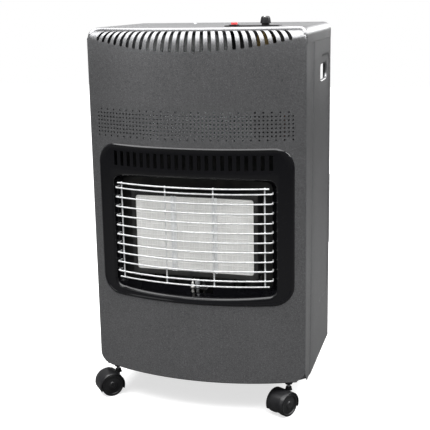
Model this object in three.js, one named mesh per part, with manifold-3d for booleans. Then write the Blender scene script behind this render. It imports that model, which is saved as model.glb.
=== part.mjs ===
// A portable gas cabinet heater: a bowed steel cabinet on four twin-wheel casters,
// with a three-plaque radiant burner behind a wire guard, a gas valve and a piezo
// igniter on the top, and an open back for the gas bottle.
// Millimetres, +Z up. The front faces -Y and +X is to the right of someone facing it.
// While it is modelled, Y = 0 is the line of the cabinet's two front corners.

import * as THREE from 'three';
import { mergeVertices } from 'three/addons/utils/BufferGeometryUtils.js';
import Module from 'manifold-3d';

const wasm = await Module();
wasm.setup();

// ---------------------------------------------------------------- driving sizes

const GAP = 0.3;               // clearance between pieces that touch
const SHEET = 1.2;             // cabinet sheet steel

// cabinet
const WIDTH = 420;
const HALF = WIDTH / 2;
const DEPTH = 269;             // front corners to rear edge
const BOW = 48;                // how far the front bows out past its corners
const TOP = 731;               // top of the cabinet above the floor
const PANEL_BOTTOM = 66;       // lower edge of the front panel
const SIDE_BOTTOM = 59;        // lower edge of the side panels
const EDGE_R = 16;             // rounded long edges of the top
const SKIRT = 14.4;            // straight skirt of the top cover below its rounding
const COVER_ROLL = 6;          // rolled front edge of the top cover
const FRONT_INSET = 1;         // front panel's edge in from the cabinet's side
const LOWER_CORNER_R = 21;     // lower corners of the front panel, seen from the front

// slotted shoulder of the front panel
const SHOULDER_DEPTH = 20;     // how far the shoulder curves back
const SHOULDER_MID_DROP = 42;  // height of the curved shoulder at the middle
const SHOULDER_END_DROP = 16;  // and at its ends
const SLOT_COUNT = 27;
const SLOT_WIDTH = 5.6;
const SLOT_SPAN = 2 * (HALF - 44);  // across the rear ends of the first and last slot
const SLOT_FAN = 120;          // distance behind the slots of the point they fan from
const SLOT_REAR_LAND = 2.2;    // metal left behind the rear end of each slot
const SLOT_FOOT = 5;           // solid metal below the lower end of each slot

// side panels
const RETURN_STEP_Y = 62;      // where the front strip steps out to the side's face
const RETURN_STEP = 1.3;
const FRONT_FLANGE = 13;
const REAR_FLANGE = 16;
const SIDE_NIP = { run: 18.7, rise: 21 };  // cut off the lower front corner
const FIELD = { y0: 140, y1: DEPTH - 11, z0: 169, z1: TOP - 59, r: 24, depth: 1.5 };
const HANDHOLD = { y: DEPTH - 80, z: TOP - 94, length: 76, height: 30, lip: 4 };

// burner opening
const BEZEL = { half: HALF - 20, z0: 219, z1: 517, r: 37, proud: 3, face: 2, collar: 9 };
const WINDOW_MARGIN = 5;       // the bezel laps over the panel's window by this
const MOUTH = { y: -BOW - 4, half: BEZEL.half - 18, z0: BEZEL.z0 + 14, z1: 460, r: 17 };
const THROAT = { y: -5, half: MOUTH.half - 24, z0: MOUTH.z0 + 11, z1: MOUTH.z1 - 10, r: 12 };
const MOUTH_WALL = 1.5;
const VENT_COUNT = 22;
const VENT = { span: 2 * (BEZEL.half - 40), width: 7, z0: BEZEL.z1 - 41, z1: BEZEL.z1 - 13 };

// wire guard
const WIRE_R = 1.5;
const GUARD_OUT = 4;           // level wires stand this far in front of the bow
const GUARD_UPRIGHTS = [-0.807, -0.269, 0.269, 0.807];  // shares of the mouth's half width
const GUARD_TOP = MOUTH.z1 - 17;
const GUARD_BOTTOM = MOUTH.z0 + 25;
const GUARD_SECOND = GUARD_TOP - 10;
const GUARD_LAST_BUT_ONE = GUARD_BOTTOM + 11;
const GUARD_LONG_WIRES = 10;
const GUARD_TAIL_Y = THROAT.y - 8;  // the long wires run back into the mouth to here
const GUARD_TURN = 3.2;        // how far they swing out as they turn back
const GUARD_TUCK = 2;          // and back in at their ends
const UPRIGHT_BEHIND = 2.4;    // the uprights lie this far behind the level wires

// burner
const PLAQUE = { width: 72.4, height: 147, thick: 13, z0: 273, web: 7.6, front: -18 };
const FRAME_LIP = 1.5;
const FRAME_SHEET = 1.2;
const FRAME_DEPTH = 16;
const HOUSING_LAND = 7;        // housing above and below the plaques
const HOUSING = {
  half: 1.5 * (PLAQUE.width + PLAQUE.web) + 2,
  z0: PLAQUE.z0 - HOUSING_LAND,
  z1: PLAQUE.z0 + PLAQUE.height + HOUSING_LAND,
  rear: 28,
};
const TUBE_Y = 8;
const TUBE_R = 11;
const TUBE_BORE_R = 9.5;
const BELL_R = 14;
const BELL_HEIGHT = 18;
const BELL_BOTTOM = 198;
const RAIL_R = 6;
const RAIL_Z = 178;
const RAIL_END = 12;           // the rail reaches this far past the left injector
const INJECTOR_R = 3.5;
const INJECTOR_TIP_R = 1.4;

// inner sheets
const BULKHEAD = { y: 14.5, z0: 165, z1: BEZEL.z1 + 3, opening_z0: RAIL_Z + 10 };
const SHIELD = { y: 46, z0: 140 };
const DEFLECTOR = { z0: 500, left_shoulder: TOP - 28, right_shoulder: TOP - 47, top: TOP - 15,
  bevel: 10, half: HALF - 102, x0: 122 - HALF, x1: HALF - 149 };

// base
const TRAY_SHEET = 1.5;
const TRAY_Z = 64;             // underside of the tray
const TRAY_RIM = 20;
const TRAY_NOTCH = { x: 24, y: 30 };  // the rim stops short of the front corners by this

// pilot: the places of its three pieces and how thick each is where the bracket holds it
const PILOT = { x: 6, y: -22, z: MOUTH.z0 + 11, r: 3 };
const SPARK = { x: PILOT.x - 10, r: 2.4 };
const PROBE = { x: PILOT.x + 12, r: 2 };
const PILOT_SHEET = 1.2;
const PILOT_BRACKET = { left: 15, right: 19, front: 5, rear: 16 };  // around the pilot burner
const PILOT_CUTOUT = { side: 11, front: 9, rear: 3 };               // around the bracket
const COLLAR_TOP = 2;          // small collars that rest on the bracket

// controls
const PLATE = { x0: HALF - 153, x1: HALF - 53, y0: 5, y1: 43, thick: 1.5, r: 4 };
const PLATE_TOP = TOP + GAP + PLATE.thick;
const KNOB = { x: HALF - 78.5, y: 17, r: 9.5, top_r: 7.3, top: PLATE_TOP + 16.2, travel: 3 };
const KNOB_COLLAR = { r: 7.2, height: 3 };   // raised ring on the plate, inside the knob's skirt
const STEM_R = 3;
const PLUNGER_R = 4.6;
const VALVE = { half: 13, z0: TOP - 55, z1: TOP - 15, neck_r: 8, bore: 26 };
const BUTTON = { x: HALF - 136.5, y: 17, r: 6, top: PLATE_TOP + 6.2, foot: TOP - 18, travel: 4 };
const IGNITER = { r: 8, flange_r: 9.6, flange: 1.2, z0: TOP - 41 };
const NUT = { grow: 3.5, height: 4 };

// casters
const WHEEL_R = 22.6;
const WHEEL_SIDES = 16;
const WHEEL_WIDTH = 12;
const WHEEL_PITCH = 26;        // between the middles of the two wheels
const CASTER_TRAIL = 18.5;
const HOOD_R = 25.6;
const HOOD_WALL = 2.2;
const HOOD_WEB = 8;
const HOOD_SKIRT = 9.5;        // how far the hood reaches below the axle
const NECK_R = 5.6;
const NECK_TOP = 49.5;
const CASTER_STEM_R = 3;
const AXLE_R = 2.4;
const SOCKET_R = 7;
const SOCKET_BOTTOM = 55;
const SOCKET_FLANGE_R = 15;
const SOCKET_FLANGE = 1.6;
const CASTERS = {              // stem place, and the way the wheels trail, in degrees
  front_left: { x: 34 - HALF, y: 5, heading: -139 },
  front_right: { x: HALF - 34, y: 5, heading: -119 },
  rear_left: { x: 70 - HALF, y: DEPTH - 61, heading: 62 },
  rear_right: { x: HALF - 70, y: DEPTH - 61, heading: 100 },
};

// bottle gate
const GATE = { half: HALF - 3, z0: 263, z1: 413, clear: 1.5, depth: 14.5, lug: 3 };
const GATE_PIN = { x: HALF - 9, y: DEPTH + 7.5, r: 2, boss_r: 5.4, head_r: 3.4, head: 1.7 };

// supply
const INLET = { y: 96, z: TOP - 31, drop: 34, bend: 16, r: 4 };
const TAIL = { r: 4.6, length: 26, bore_r: 2.4, groove: 0.9, barb: 5, nut_r: 7.6, nut: 8 };
const MAIN_PIPE_R = 3.2;
const PILOT_PIPE_R = 2;
const LEAD_R = 1.3;
const PROBE_LEAD_R = 1.2;

// ---------------------------------------------------------------- materials

const paint = (color, roughness, metalness) =>
  new THREE.MeshStandardMaterial({ color, roughness, metalness });
const graphite = () => paint(0x57585b, 0.5, 0.5);
const black_enamel = () => paint(0x141516, 0.2, 0.1);
const black_plastic = () => paint(0x17181a, 0.5, 0.0);
const bright_steel = () => paint(0xb9bdc2, 0.3, 1.0);
const zinc = () => paint(0x9da2a6, 0.45, 1.0);
const brass = () => paint(0xb08d4a, 0.35, 1.0);
const ceramic = () => paint(0xd9dbd6, 0.9, 0.0);
const red_plastic = () => paint(0xb3202a, 0.35, 0.0);
const copper = () => paint(0xa9683f, 0.4, 1.0);

// ---------------------------------------------------------------- solids

function solid(geometry) {
  const bare = geometry.clone();
  bare.deleteAttribute('normal');
  bare.deleteAttribute('uv');
  const merged = mergeVertices(bare, 1e-4);
  return new wasm.Manifold(new wasm.Mesh({
    numProp: 3,
    vertProperties: new Float32Array(merged.attributes.position.array),
    triVerts: new Uint32Array(merged.index.array),
  }));
}

function part(name, body, material) {
  const data = body.getMesh();
  const geometry = new THREE.BufferGeometry();
  geometry.setAttribute('position', new THREE.BufferAttribute(data.vertProperties, 3));
  geometry.setIndex(new THREE.BufferAttribute(data.triVerts, 1));
  geometry.computeVertexNormals();
  const mesh = new THREE.Mesh(geometry, material);
  mesh.name = name;
  return mesh;
}

const join = (bodies) => bodies.reduce((sum, body) => sum.add(body));
const cutAll = (body, cutters) => cutters.reduce((rest, cutter) => rest.subtract(cutter), body);

function extrude(shape, depth, sides = 5) {
  return new THREE.ExtrudeGeometry(shape, { depth, bevelEnabled: false, curveSegments: sides });
}

// A shape drawn in X and Z, from y0 back to y1.
function prismY(shape, y0, y1, sides) {
  const body = extrude(shape, y1 - y0, sides);
  body.rotateX(Math.PI / 2);
  body.translate(0, y1, 0);
  return solid(body);
}

// A shape drawn in X and Y, from z0 up to z1.
function prismZ(shape, z0, z1, sides) {
  const body = extrude(shape, z1 - z0, sides);
  body.translate(0, 0, z0);
  return solid(body);
}

// A shape drawn in Y and Z, from x0 across to x1.
function prismX(shape, x0, x1, sides) {
  const body = extrude(shape, x1 - x0, sides);
  body.applyMatrix4(new THREE.Matrix4().makeBasis(
    new THREE.Vector3(0, 1, 0), new THREE.Vector3(0, 0, 1), new THREE.Vector3(1, 0, 0)));
  body.translate(x0, 0, 0);
  return solid(body);
}

function box(x0, x1, y0, y1, z0, z1) {
  const body = new THREE.BoxGeometry(x1 - x0, y1 - y0, z1 - z0);
  body.translate((x0 + x1) / 2, (y0 + y1) / 2, (z0 + z1) / 2);
  return solid(body);
}

// A turned piece about a vertical line through x, y. The profile holds [radius, height].
function turned(profile, x, y, sides = 20, turn = 0) {
  const points = profile.map(([r, z]) => new THREE.Vector2(r, z));
  const closed = profile.every(([r]) => r > 0) ? [...points, points[0].clone()] : points;
  const body = new THREE.LatheGeometry(closed, sides);
  body.rotateX(Math.PI / 2);
  body.rotateZ(turn);
  body.translate(x, y, 0);
  return turnOut(solid(body), body);
}

// A lathe profile may run either way round: this keeps the faces pointing out.
function turnOut(body, geometry) {
  if (body.volume() > 0) {
    return body;
  }
  const flipped = geometry.clone();
  const index = flipped.index.array;
  for (let i = 0; i < index.length; i += 3) {
    [index[i], index[i + 1]] = [index[i + 1], index[i]];
  }
  return solid(flipped);
}

const rod = (x, y, z0, z1, r, sides) => turned([[0, z0], [r, z0], [r, z1], [0, z1]], x, y, sides);

const pipeRing = (x, y, z0, z1, bore, r, sides) =>
  turned([[bore, z0], [r, z0], [r, z1], [bore, z1]], x, y, sides);

// A rod that lies along X.
function rodX(x0, x1, y, z, r, sides = 12) {
  const body = new THREE.CylinderGeometry(r, r, x1 - x0, sides);
  body.rotateZ(Math.PI / 2);
  body.translate((x0 + x1) / 2, y, z);
  return solid(body);
}

function circle(r, sides) {
  const ring = new THREE.Shape();
  for (let i = 0; i < sides; i++) {
    const a = (i + 0.5) / sides * 2 * Math.PI;
    ring[i ? 'lineTo' : 'moveTo'](r * Math.cos(a), r * Math.sin(a));
  }
  return ring;
}

// A bent wire, pipe or lead of round section along a smooth curve through the points.
function bent(points, r, steps, sides = 8) {
  const path = new THREE.CatmullRomCurve3(
    points.map((p) => new THREE.Vector3(...p)), false, 'centripetal');
  return solid(new THREE.ExtrudeGeometry(circle(r, sides), { steps, extrudePath: path }));
}

function roundedBox(half, z0, z1, r) {
  return roundedShape(-half, half, z0, z1, r, r);
}

// A rectangle with its lower corners rounded to one radius and its upper to another.
function roundedShape(x0, x1, y0, y1, lower, upper) {
  const s = new THREE.Shape();
  s.moveTo(x0 + lower, y0);
  s.lineTo(x1 - lower, y0);
  if (lower) s.absarc(x1 - lower, y0 + lower, lower, -Math.PI / 2, 0);
  s.lineTo(x1, y1 - upper);
  if (upper) s.absarc(x1 - upper, y1 - upper, upper, 0, Math.PI / 2);
  s.lineTo(x0 + upper, y1);
  if (upper) s.absarc(x0 + upper, y1 - upper, upper, Math.PI / 2, Math.PI);
  s.lineTo(x0, y0 + lower);
  if (lower) s.absarc(x0 + lower, y0 + lower, lower, Math.PI, Math.PI * 1.5);
  return s;
}

const outline = (points) => new THREE.Shape(points.map(([x, y]) => new THREE.Vector2(x, y)));

// A bent sheet: its outer face is a grid of points and its thickness lies behind that.
function sheet(grid, thickness, inward) {
  const rows = grid.length;
  const cols = grid[0].length;
  const at = (i, j) => grid[Math.min(Math.max(i, 0), rows - 1)][Math.min(Math.max(j, 0), cols - 1)];
  const vertices = [];
  grid.forEach((row) => row.forEach((p) => vertices.push(p.x, p.y, p.z)));
  for (let i = 0; i < rows; i++) {
    for (let j = 0; j < cols; j++) {
      const along = at(i + 1, j).clone().sub(at(i - 1, j));
      const across = at(i, j + 1).clone().sub(at(i, j - 1));
      const n = along.cross(across).normalize();
      if (n.dot(inward(at(i, j))) < 0) n.negate();
      const p = at(i, j).clone().addScaledVector(n, thickness);
      vertices.push(p.x, p.y, p.z);
    }
  }
  const face = (i, j) => i * cols + j;
  const back = rows * cols;
  const triangles = [];
  const quad = (a, b, c, d) => triangles.push(a, b, c, a, c, d);
  for (let i = 0; i + 1 < rows; i++) {
    for (let j = 0; j + 1 < cols; j++) {
      const ring = [face(i, j), face(i, j + 1), face(i + 1, j + 1), face(i + 1, j)];
      quad(...ring);
      quad(...ring.map((k) => k + back).reverse());
    }
  }
  const rim = [];
  for (let j = 0; j + 1 < cols; j++) rim.push(face(0, j));
  for (let i = 0; i + 1 < rows; i++) rim.push(face(i, cols - 1));
  for (let j = cols - 1; j > 0; j--) rim.push(face(rows - 1, j));
  for (let i = rows - 1; i > 0; i--) rim.push(face(i, 0));
  rim.forEach((k, n) => {
    const next = rim[(n + 1) % rim.length];
    quad(next, k, k + back, next + back);
  });
  const geometry = new THREE.BufferGeometry();
  geometry.setAttribute('position', new THREE.Float32BufferAttribute(vertices, 3));
  geometry.setIndex(triangles);
  return turnOut(solid(geometry), geometry);
}

// ---------------------------------------------------------------- the bow

const BOW_R = (HALF * HALF + BOW * BOW) / (2 * BOW);
const bowY = (x) => BOW_R - BOW - Math.sqrt(BOW_R * BOW_R - x * x);

const spread = (from, to, steps) =>
  Array.from({ length: steps + 1 }, (_, i) => from + (to - from) * i / steps);

// The bow is cut into the same flats everywhere, so that pieces lie flush along it.
const BOW_FLATS = spread(EDGE_R - HALF, HALF - EDGE_R, 20);
const BOW_LINE = [FRONT_INSET - HALF, ...BOW_FLATS, HALF - FRONT_INSET];

// Everything behind the bowed face, moved back by an offset, as a tall solid.
function behindBow(offset, rear, half = HALF + 8) {
  const front = [-half, ...BOW_LINE, half].map((x) => [x, bowY(x) + offset]);
  return prismZ(outline([...front, [half, rear], [-half, rear]]), 0, TOP + 40);
}

const bowedSlab = (offset, thickness) =>
  behindBow(offset, DEPTH).subtract(behindBow(offset + thickness, DEPTH + 1, HALF + 10));

// ---------------------------------------------------------------- cabinet

const PANEL_HALF = HALF - FRONT_INSET;
const INNER_HALF = HALF - RETURN_STEP - SHEET - GAP;
const SIDE_FRONT = bowY(PANEL_HALF) + SHEET + 2 * GAP;
const SHOULDER_TOP = TOP - COVER_ROLL;

// How far the rounded long edge of the top has fallen at this distance from the middle.
function edgeDrop(x, half) {
  const over = Math.abs(x) - (half - EDGE_R);
  return over > 0 ? EDGE_R - Math.sqrt(Math.max(EDGE_R * EDGE_R - over * over, 0)) : 0;
}

// The seam between the front panel and the top cover, seen from above.
function seamY(x) {
  const over = Math.max(Math.abs(x) - (HALF - EDGE_R), 0) / EDGE_R;
  return (bowY(x) + SHOULDER_DEPTH) * (1 - over) + (SIDE_FRONT + SHEET) * over;
}

const crestZ = (x) => SHOULDER_TOP - edgeDrop(x, PANEL_HALF);

function shoulderBottomZ(x) {
  const end = (x / PANEL_HALF) ** 2;
  return SHOULDER_TOP - SHOULDER_MID_DROP * (1 - end) - SHOULDER_END_DROP * end - 0.1;
}

// Everything in front of the seam between panel and cover, less a clearance.
function beforeSeam(clearance) {
  const seam = BOW_LINE.map((x) => [x, seamY(x) - clearance]).reverse();
  const side = HALF + 1;
  return prismZ(outline([[-side, -2 * BOW], [side, -2 * BOW], [side, seam[0][1]], ...seam,
    [-side, seam[0][1]]]), 0, TOP + 40);
}

function frontPanel() {
  const columns = BOW_LINE;
  const turns = spread(0, Math.PI / 2, 4);
  const grid = columns.map((x) => {
    const y = bowY(x);
    const z = Math.min(shoulderBottomZ(x), crestZ(x) - 1);
    const depth = seamY(x) - GAP - y;
    const rise = crestZ(x) - z;
    const shoulder = turns.map((a) =>
      new THREE.Vector3(x, y + depth * (1 - Math.cos(a)), z + rise * Math.sin(a)));
    return [new THREE.Vector3(x, y, PANEL_BOTTOM), ...shoulder];
  });
  const inside = new THREE.Vector3(0, DEPTH / 2, TOP / 2);
  const shell = sheet(grid, SHEET, (p) => inside.clone().sub(p));
  const face = roundedShape(-HALF, HALF, PANEL_BOTTOM, TOP + 40, LOWER_CORNER_R, 0);
  const window = roundedBox(BEZEL.half - WINDOW_MARGIN, BEZEL.z0 + WINDOW_MARGIN,
    BEZEL.z1 - WINDOW_MARGIN, BEZEL.r - WINDOW_MARGIN);
  return shell
    .intersect(prismY(face, -2 * BOW, DEPTH, 6))
    .intersect(beforeSeam(GAP))
    .subtract(prismY(window, -2 * BOW, DEPTH, 6))
    .subtract(join(shoulderSlots()));
}

// The slots open the curved shoulder, fanned out from a point behind them.
function shoulderSlots() {
  return spread(-SLOT_SPAN / 2, SLOT_SPAN / 2, SLOT_COUNT - 1).map((x) => {
    const rear = seamY(x) - SLOT_REAR_LAND;
    const angle = Math.atan2(x, SLOT_FAN);
    const reach = SHOULDER_DEPTH * 2;
    const cutter = new THREE.BoxGeometry(SLOT_WIDTH, reach, TOP);
    cutter.translate(0, -reach / 2, TOP / 2 + shoulderBottomZ(x) + SLOT_FOOT);
    cutter.rotateZ(angle);
    cutter.translate(x, rear, 0);
    return solid(cutter);
  });
}

function topCover() {
  const arc = spread(0, Math.PI / 2, 4);
  const left = arc.map((a) => [-HALF + EDGE_R * (1 - Math.cos(a)), TOP - EDGE_R * (1 - Math.sin(a)),
    -Math.cos(a), Math.sin(a)]);
  const flat = BOW_FLATS.slice(1, -1).map((x) => [x, TOP, 0, 1]);
  const right = left.map(([x, z, nx, nz]) => [-x, z, -nx, nz]).reverse();
  const foot = TOP - EDGE_R - SKIRT;
  const section = [[-HALF, foot, -1, 0], ...left, ...flat, ...right, [HALF, foot, 1, 0]];
  const turns = spread(0, Math.PI / 2, 3);
  const grid = section.map(([x, z, nx, nz]) => {
    const roll = turns.map((a) => {
      const sink = COVER_ROLL * (1 - Math.sin(a));
      const y = seamY(x) + COVER_ROLL * (1 - Math.cos(a));
      return new THREE.Vector3(x - nx * sink, y, z - nz * sink);
    });
    return [...roll, new THREE.Vector3(x, DEPTH, z)];
  });
  const inside = new THREE.Vector3(0, DEPTH / 2, TOP / 2);
  const shell = sheet(grid, SHEET, (p) => inside.clone().sub(p));
  const hem = HALF - REAR_FLANGE;
  return shell
    .subtract(beforeSeam(0))
    .add(box(-hem, hem, DEPTH - SHEET, DEPTH, foot, TOP - SHEET / 2))
    .subtract(rod(KNOB.x, KNOB.y, 0, 2 * TOP, PLUNGER_R + 1, 16))
    .subtract(rod(BUTTON.x, BUTTON.y, 0, 2 * TOP, IGNITER.r + GAP, 20));
}

const COVER_FOOT = TOP - EDGE_R - SKIRT;
const SIDE_TOP = COVER_FOOT - GAP;

// side is -1 for the left panel and 1 for the right.
function sidePanel(side) {
  const strip = HALF - RETURN_STEP;
  const outer = [
    [strip - FRONT_FLANGE, SIDE_FRONT], [strip - 2, SIDE_FRONT], [strip, SIDE_FRONT + 2],
    [strip, RETURN_STEP_Y], [HALF, RETURN_STEP_Y + 5], [HALF, DEPTH - 2],
    [HALF - 2, DEPTH], [HALF - REAR_FLANGE, DEPTH],
  ];
  const inner = [
    [HALF - REAR_FLANGE, DEPTH - SHEET], [HALF - 2.5, DEPTH - SHEET],
    [HALF - SHEET, DEPTH - 2.5], [HALF - SHEET, RETURN_STEP_Y + 5.3],
    [strip - SHEET, RETURN_STEP_Y + 0.3], [strip - SHEET, SIDE_FRONT + 2.5],
    [strip - 2.5, SIDE_FRONT + SHEET], [strip - FRONT_FLANGE, SIDE_FRONT + SHEET],
  ];
  const right = outline([...outer, ...inner]);
  const pan = roundedShape(FIELD.y0, FIELD.y1, FIELD.z0, FIELD.z1, FIELD.r, FIELD.r);
  const panBack = roundedShape(FIELD.y0 - SHEET, FIELD.y1 + SHEET, FIELD.z0 - SHEET,
    FIELD.z1 + SHEET, FIELD.r + SHEET, FIELD.r + SHEET);
  const grip = (grow) => roundedShape(
    HANDHOLD.y - HANDHOLD.length / 2 - grow, HANDHOLD.y + HANDHOLD.length / 2 + grow,
    HANDHOLD.z - HANDHOLD.height / 2 - grow, HANDHOLD.z + HANDHOLD.height / 2 + grow,
    HANDHOLD.height / 2 - 2 + grow, HANDHOLD.height / 2 - 2 + grow);
  const pressed = HALF - FIELD.depth;
  let body = prismZ(right, SIDE_BOTTOM, SIDE_TOP)
    .add(prismX(panBack, pressed - SHEET, HALF - SHEET / 2, 4))
    .subtract(prismX(pan, pressed, HALF + 1, 4))
    .add(prismX(grip(SHEET), pressed - SHEET - HANDHOLD.lip, pressed - SHEET / 2, 5))
    .subtract(prismX(grip(0), HALF - REAR_FLANGE, HALF + 1, 5))
    .subtract(lowerFrontNip());
  if (side < 0) {
    body = body.mirror([1, 0, 0]);
  } else {
    body = body.add(join(hingeLugs()));
  }
  return body;
}

// What is cut off the lower front corner, so that it stays hidden by the front panel.
function lowerFrontNip() {
  const { run, rise } = SIDE_NIP;
  return prismX(outline([[SIDE_FRONT - run, SIDE_BOTTOM - rise],
    [SIDE_FRONT + 2 * run, SIDE_BOTTOM - rise],
    [SIDE_FRONT - run, SIDE_BOTTOM + 2 * rise]]), HALF - 2 * REAR_FLANGE, HALF + 1);
}

// Two lugs on the right panel's rear flange that hold the gate's hinge pin.
function hingeLugs() {
  const { x, y, r, boss_r } = GATE_PIN;
  const ear = new THREE.Shape();
  ear.moveTo(x - boss_r, DEPTH - SHEET);
  ear.lineTo(x + boss_r, DEPTH - SHEET);
  ear.lineTo(x + boss_r, y);
  ear.absarc(x, y, boss_r, 0, Math.PI);
  const bore = rod(x, y, 0, TOP, r + GAP, 12);
  return [GATE.z0 - GAP - GATE.lug, GATE.z1 + GAP].map((z) =>
    prismZ(ear, z, z + GATE.lug, 6).subtract(bore));
}

// The bar across the open back that keeps the bottle in: a channel, rounded at its hinge.
function bottleGate() {
  const { half, z0, z1, clear, depth } = GATE;
  const { x, y, r, boss_r } = GATE_PIN;
  const front = DEPTH + clear;
  const rear = front + depth;
  const flange = new THREE.Shape();
  flange.moveTo(-half, front);
  flange.lineTo(x, y - boss_r);
  flange.absarc(x, y, boss_r, -Math.PI / 2, 0);
  flange.lineTo(half, y);
  flange.lineTo(half, rear);
  flange.lineTo(-half, rear);
  return box(-half, half, rear - SHEET, rear, z0, z1)
    .add(prismZ(flange, z0, z0 + SHEET, 5))
    .add(prismZ(flange, z1 - SHEET, z1, 5))
    .add(box(-half, -half + SHEET, front, rear, z0, z1))
    .add(box(half - SHEET, half, y, rear, z0, z1))
    .subtract(rod(x, y, 0, TOP, r + GAP, 12));
}

function gateHingePin() {
  const { x, y, r, head_r, head } = GATE_PIN;
  const low = GATE.z0 - GAP - GATE.lug - 1;
  const seat = GATE.z1 + GAP + GATE.lug + GAP;
  return rod(x, y, low, seat + head / 2, r, 12).add(rod(x, y, seat, seat + head, head_r, 12));
}

function trayOutline(inset) {
  const half = INNER_HALF - inset;
  const corner = half - FRONT_FLANGE - GAP;
  const shelf = SIDE_FRONT + SHEET + GAP + inset;
  const nip = shelf + half - corner;
  const rear = DEPTH - SHEET - GAP - inset;
  const front = spread(-corner, corner, 22).map((x) => [x, bowY(x) + SHEET + 2 * GAP + inset]);
  return outline([[-half, nip], [-corner, shelf], ...front, [corner, shelf], [half, nip],
    [half, rear], [-half, rear]]);
}

function baseTray() {
  const floor = TRAY_Z + TRAY_SHEET;
  const high = TRAY_Z + TRAY_RIM + 1;
  const notch = HALF - TRAY_NOTCH.x;
  return prismZ(trayOutline(0), TRAY_Z, TRAY_Z + TRAY_RIM)
    .subtract(prismZ(trayOutline(TRAY_SHEET), floor, high))
    .subtract(box(-HALF, -notch, -BOW, TRAY_NOTCH.y, floor, high))
    .subtract(box(notch, HALF, -BOW, TRAY_NOTCH.y, floor, high));
}

// ---------------------------------------------------------------- inner sheets

function bulkhead() {
  const clear = HOUSING.half + GAP;
  const plate = box(-INNER_HALF, INNER_HALF, BULKHEAD.y, BULKHEAD.y + SHEET,
    BULKHEAD.z0, BULKHEAD.z1);
  return plate.subtract(box(-clear, clear, 0, DEPTH, BULKHEAD.opening_z0, HOUSING.z1 + GAP));
}

// It fills the cabinet up to the top cover, with a slot for the inlet pipe.
function heatShield() {
  const { y, z0 } = SHIELD;
  const inside = SHEET + GAP;
  const shape = roundedShape(inside - HALF, HALF - inside, z0, TOP - inside, 0, EDGE_R - inside);
  const slot = INLET.r + 4;
  return prismY(shape, y, y + SHEET, 2)
    .intersect(box(-INNER_HALF, INNER_HALF, 0, DEPTH, 0, TOP))
    .subtract(box(KNOB.x - slot, KNOB.x + slot, y - 1, y + SHEET + 1, INLET.z - slot, TOP));
}

// A bright sheet behind the shoulder slots that turns the hot air out through them.
// It is cut away on the right, where the igniter hangs down.
function heatDeflector() {
  const { z0, left_shoulder, right_shoulder, top, bevel, half, x0, x1 } = DEFLECTOR;
  const y = BULKHEAD.y + SHEET + GAP;
  const shape = outline([[-half, z0], [half, z0], [half, right_shoulder - bevel],
    [half - bevel, right_shoulder], [x1, right_shoulder], [x1, top], [x0, top],
    [x0 - bevel, left_shoulder], [bevel - half, left_shoulder], [-half, left_shoulder - bevel]]);
  return prismY(shape, y, y + SHEET);
}

// ---------------------------------------------------------------- burner opening

// A tapered tube from the mouth at the bow back to the throat.
function mouthTaper(grow, beyond) {
  const ring = (m, y) => roundedShape(-m.half - grow, m.half + grow, m.z0 - grow,
    m.z1 + grow, m.r + grow, m.r + grow).getPoints(4).map((p) => new THREE.Vector3(p.x, y, p.y));
  const rings = [ring(MOUTH, MOUTH.y), ring(THROAT, THROAT.y + beyond)];
  const count = rings[0].length;
  const vertices = rings.flat().flatMap((p) => [p.x, p.y, p.z]);
  const triangles = [];
  for (let i = 0; i < count; i++) {
    const j = (i + 1) % count;
    triangles.push(i, j, j + count, i, j + count, i + count);
  }
  for (let i = 1; i + 1 < count; i++) {
    triangles.push(0, i + 1, i, count, count + i, count + i + 1);
  }
  const geometry = new THREE.BufferGeometry();
  geometry.setAttribute('position', new THREE.Float32BufferAttribute(vertices, 3));
  geometry.setIndex(triangles);
  return turnOut(solid(geometry), geometry);
}

function surround() {
  const { half, z0, z1, r, proud, face, collar } = BEZEL;
  const through = (inset) => prismY(roundedBox(half - inset, z0 + inset, z1 - inset, r - inset),
    -2 * BOW, DEPTH, 6);
  const inside = WINDOW_MARGIN + GAP;
  const rim = through(0).intersect(bowedSlab(-proud, proud - GAP));
  const panel = through(inside).intersect(bowedSlab(-proud, face));
  const edge = through(inside).subtract(through(inside + face)).intersect(bowedSlab(-proud, collar));
  const tube = mouthTaper(MOUTH_WALL, 0).intersect(behindBow(-proud, DEPTH));
  const vents = spread(-VENT.span / 2, VENT.span / 2, VENT_COUNT - 1).map((x) =>
    prismY(roundedShape(x - VENT.width / 2, x + VENT.width / 2, VENT.z0, VENT.z1, 0, 0),
      -2 * BOW, 0));
  return join([rim, panel, edge, tube])
    .subtract(mouthTaper(0, 0.5))
    .subtract(join(vents))
    .subtract(pilotCutout());
}

// The hole in the mouth's floor that the pilot stands in.
function pilotCutout() {
  const { left, right, front, rear } = PILOT_BRACKET;
  const clear = PILOT_CUTOUT;
  return box(PILOT.x - left - clear.side, PILOT.x + right + clear.side,
    PILOT.y - front - clear.front, PILOT.y + rear + clear.rear, MOUTH.z0 - 20, MOUTH.z0 + 20);
}

// Half the mouth's width at a depth in its taper.
const mouthHalf = (y) =>
  MOUTH.half + (THROAT.half - MOUTH.half) * (y - MOUTH.y) / (THROAT.y - MOUTH.y);

const GUARD_TURN_HALF = mouthHalf(GUARD_TAIL_Y) - GAP - WIRE_R - GUARD_TURN + GUARD_TUCK;
const GUARD_SHORT_HALF = GUARD_TURN_HALF - 2;

const GUARD_UPRIGHT_X = GUARD_UPRIGHTS.map((share) => share * MOUTH.half);

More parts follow.
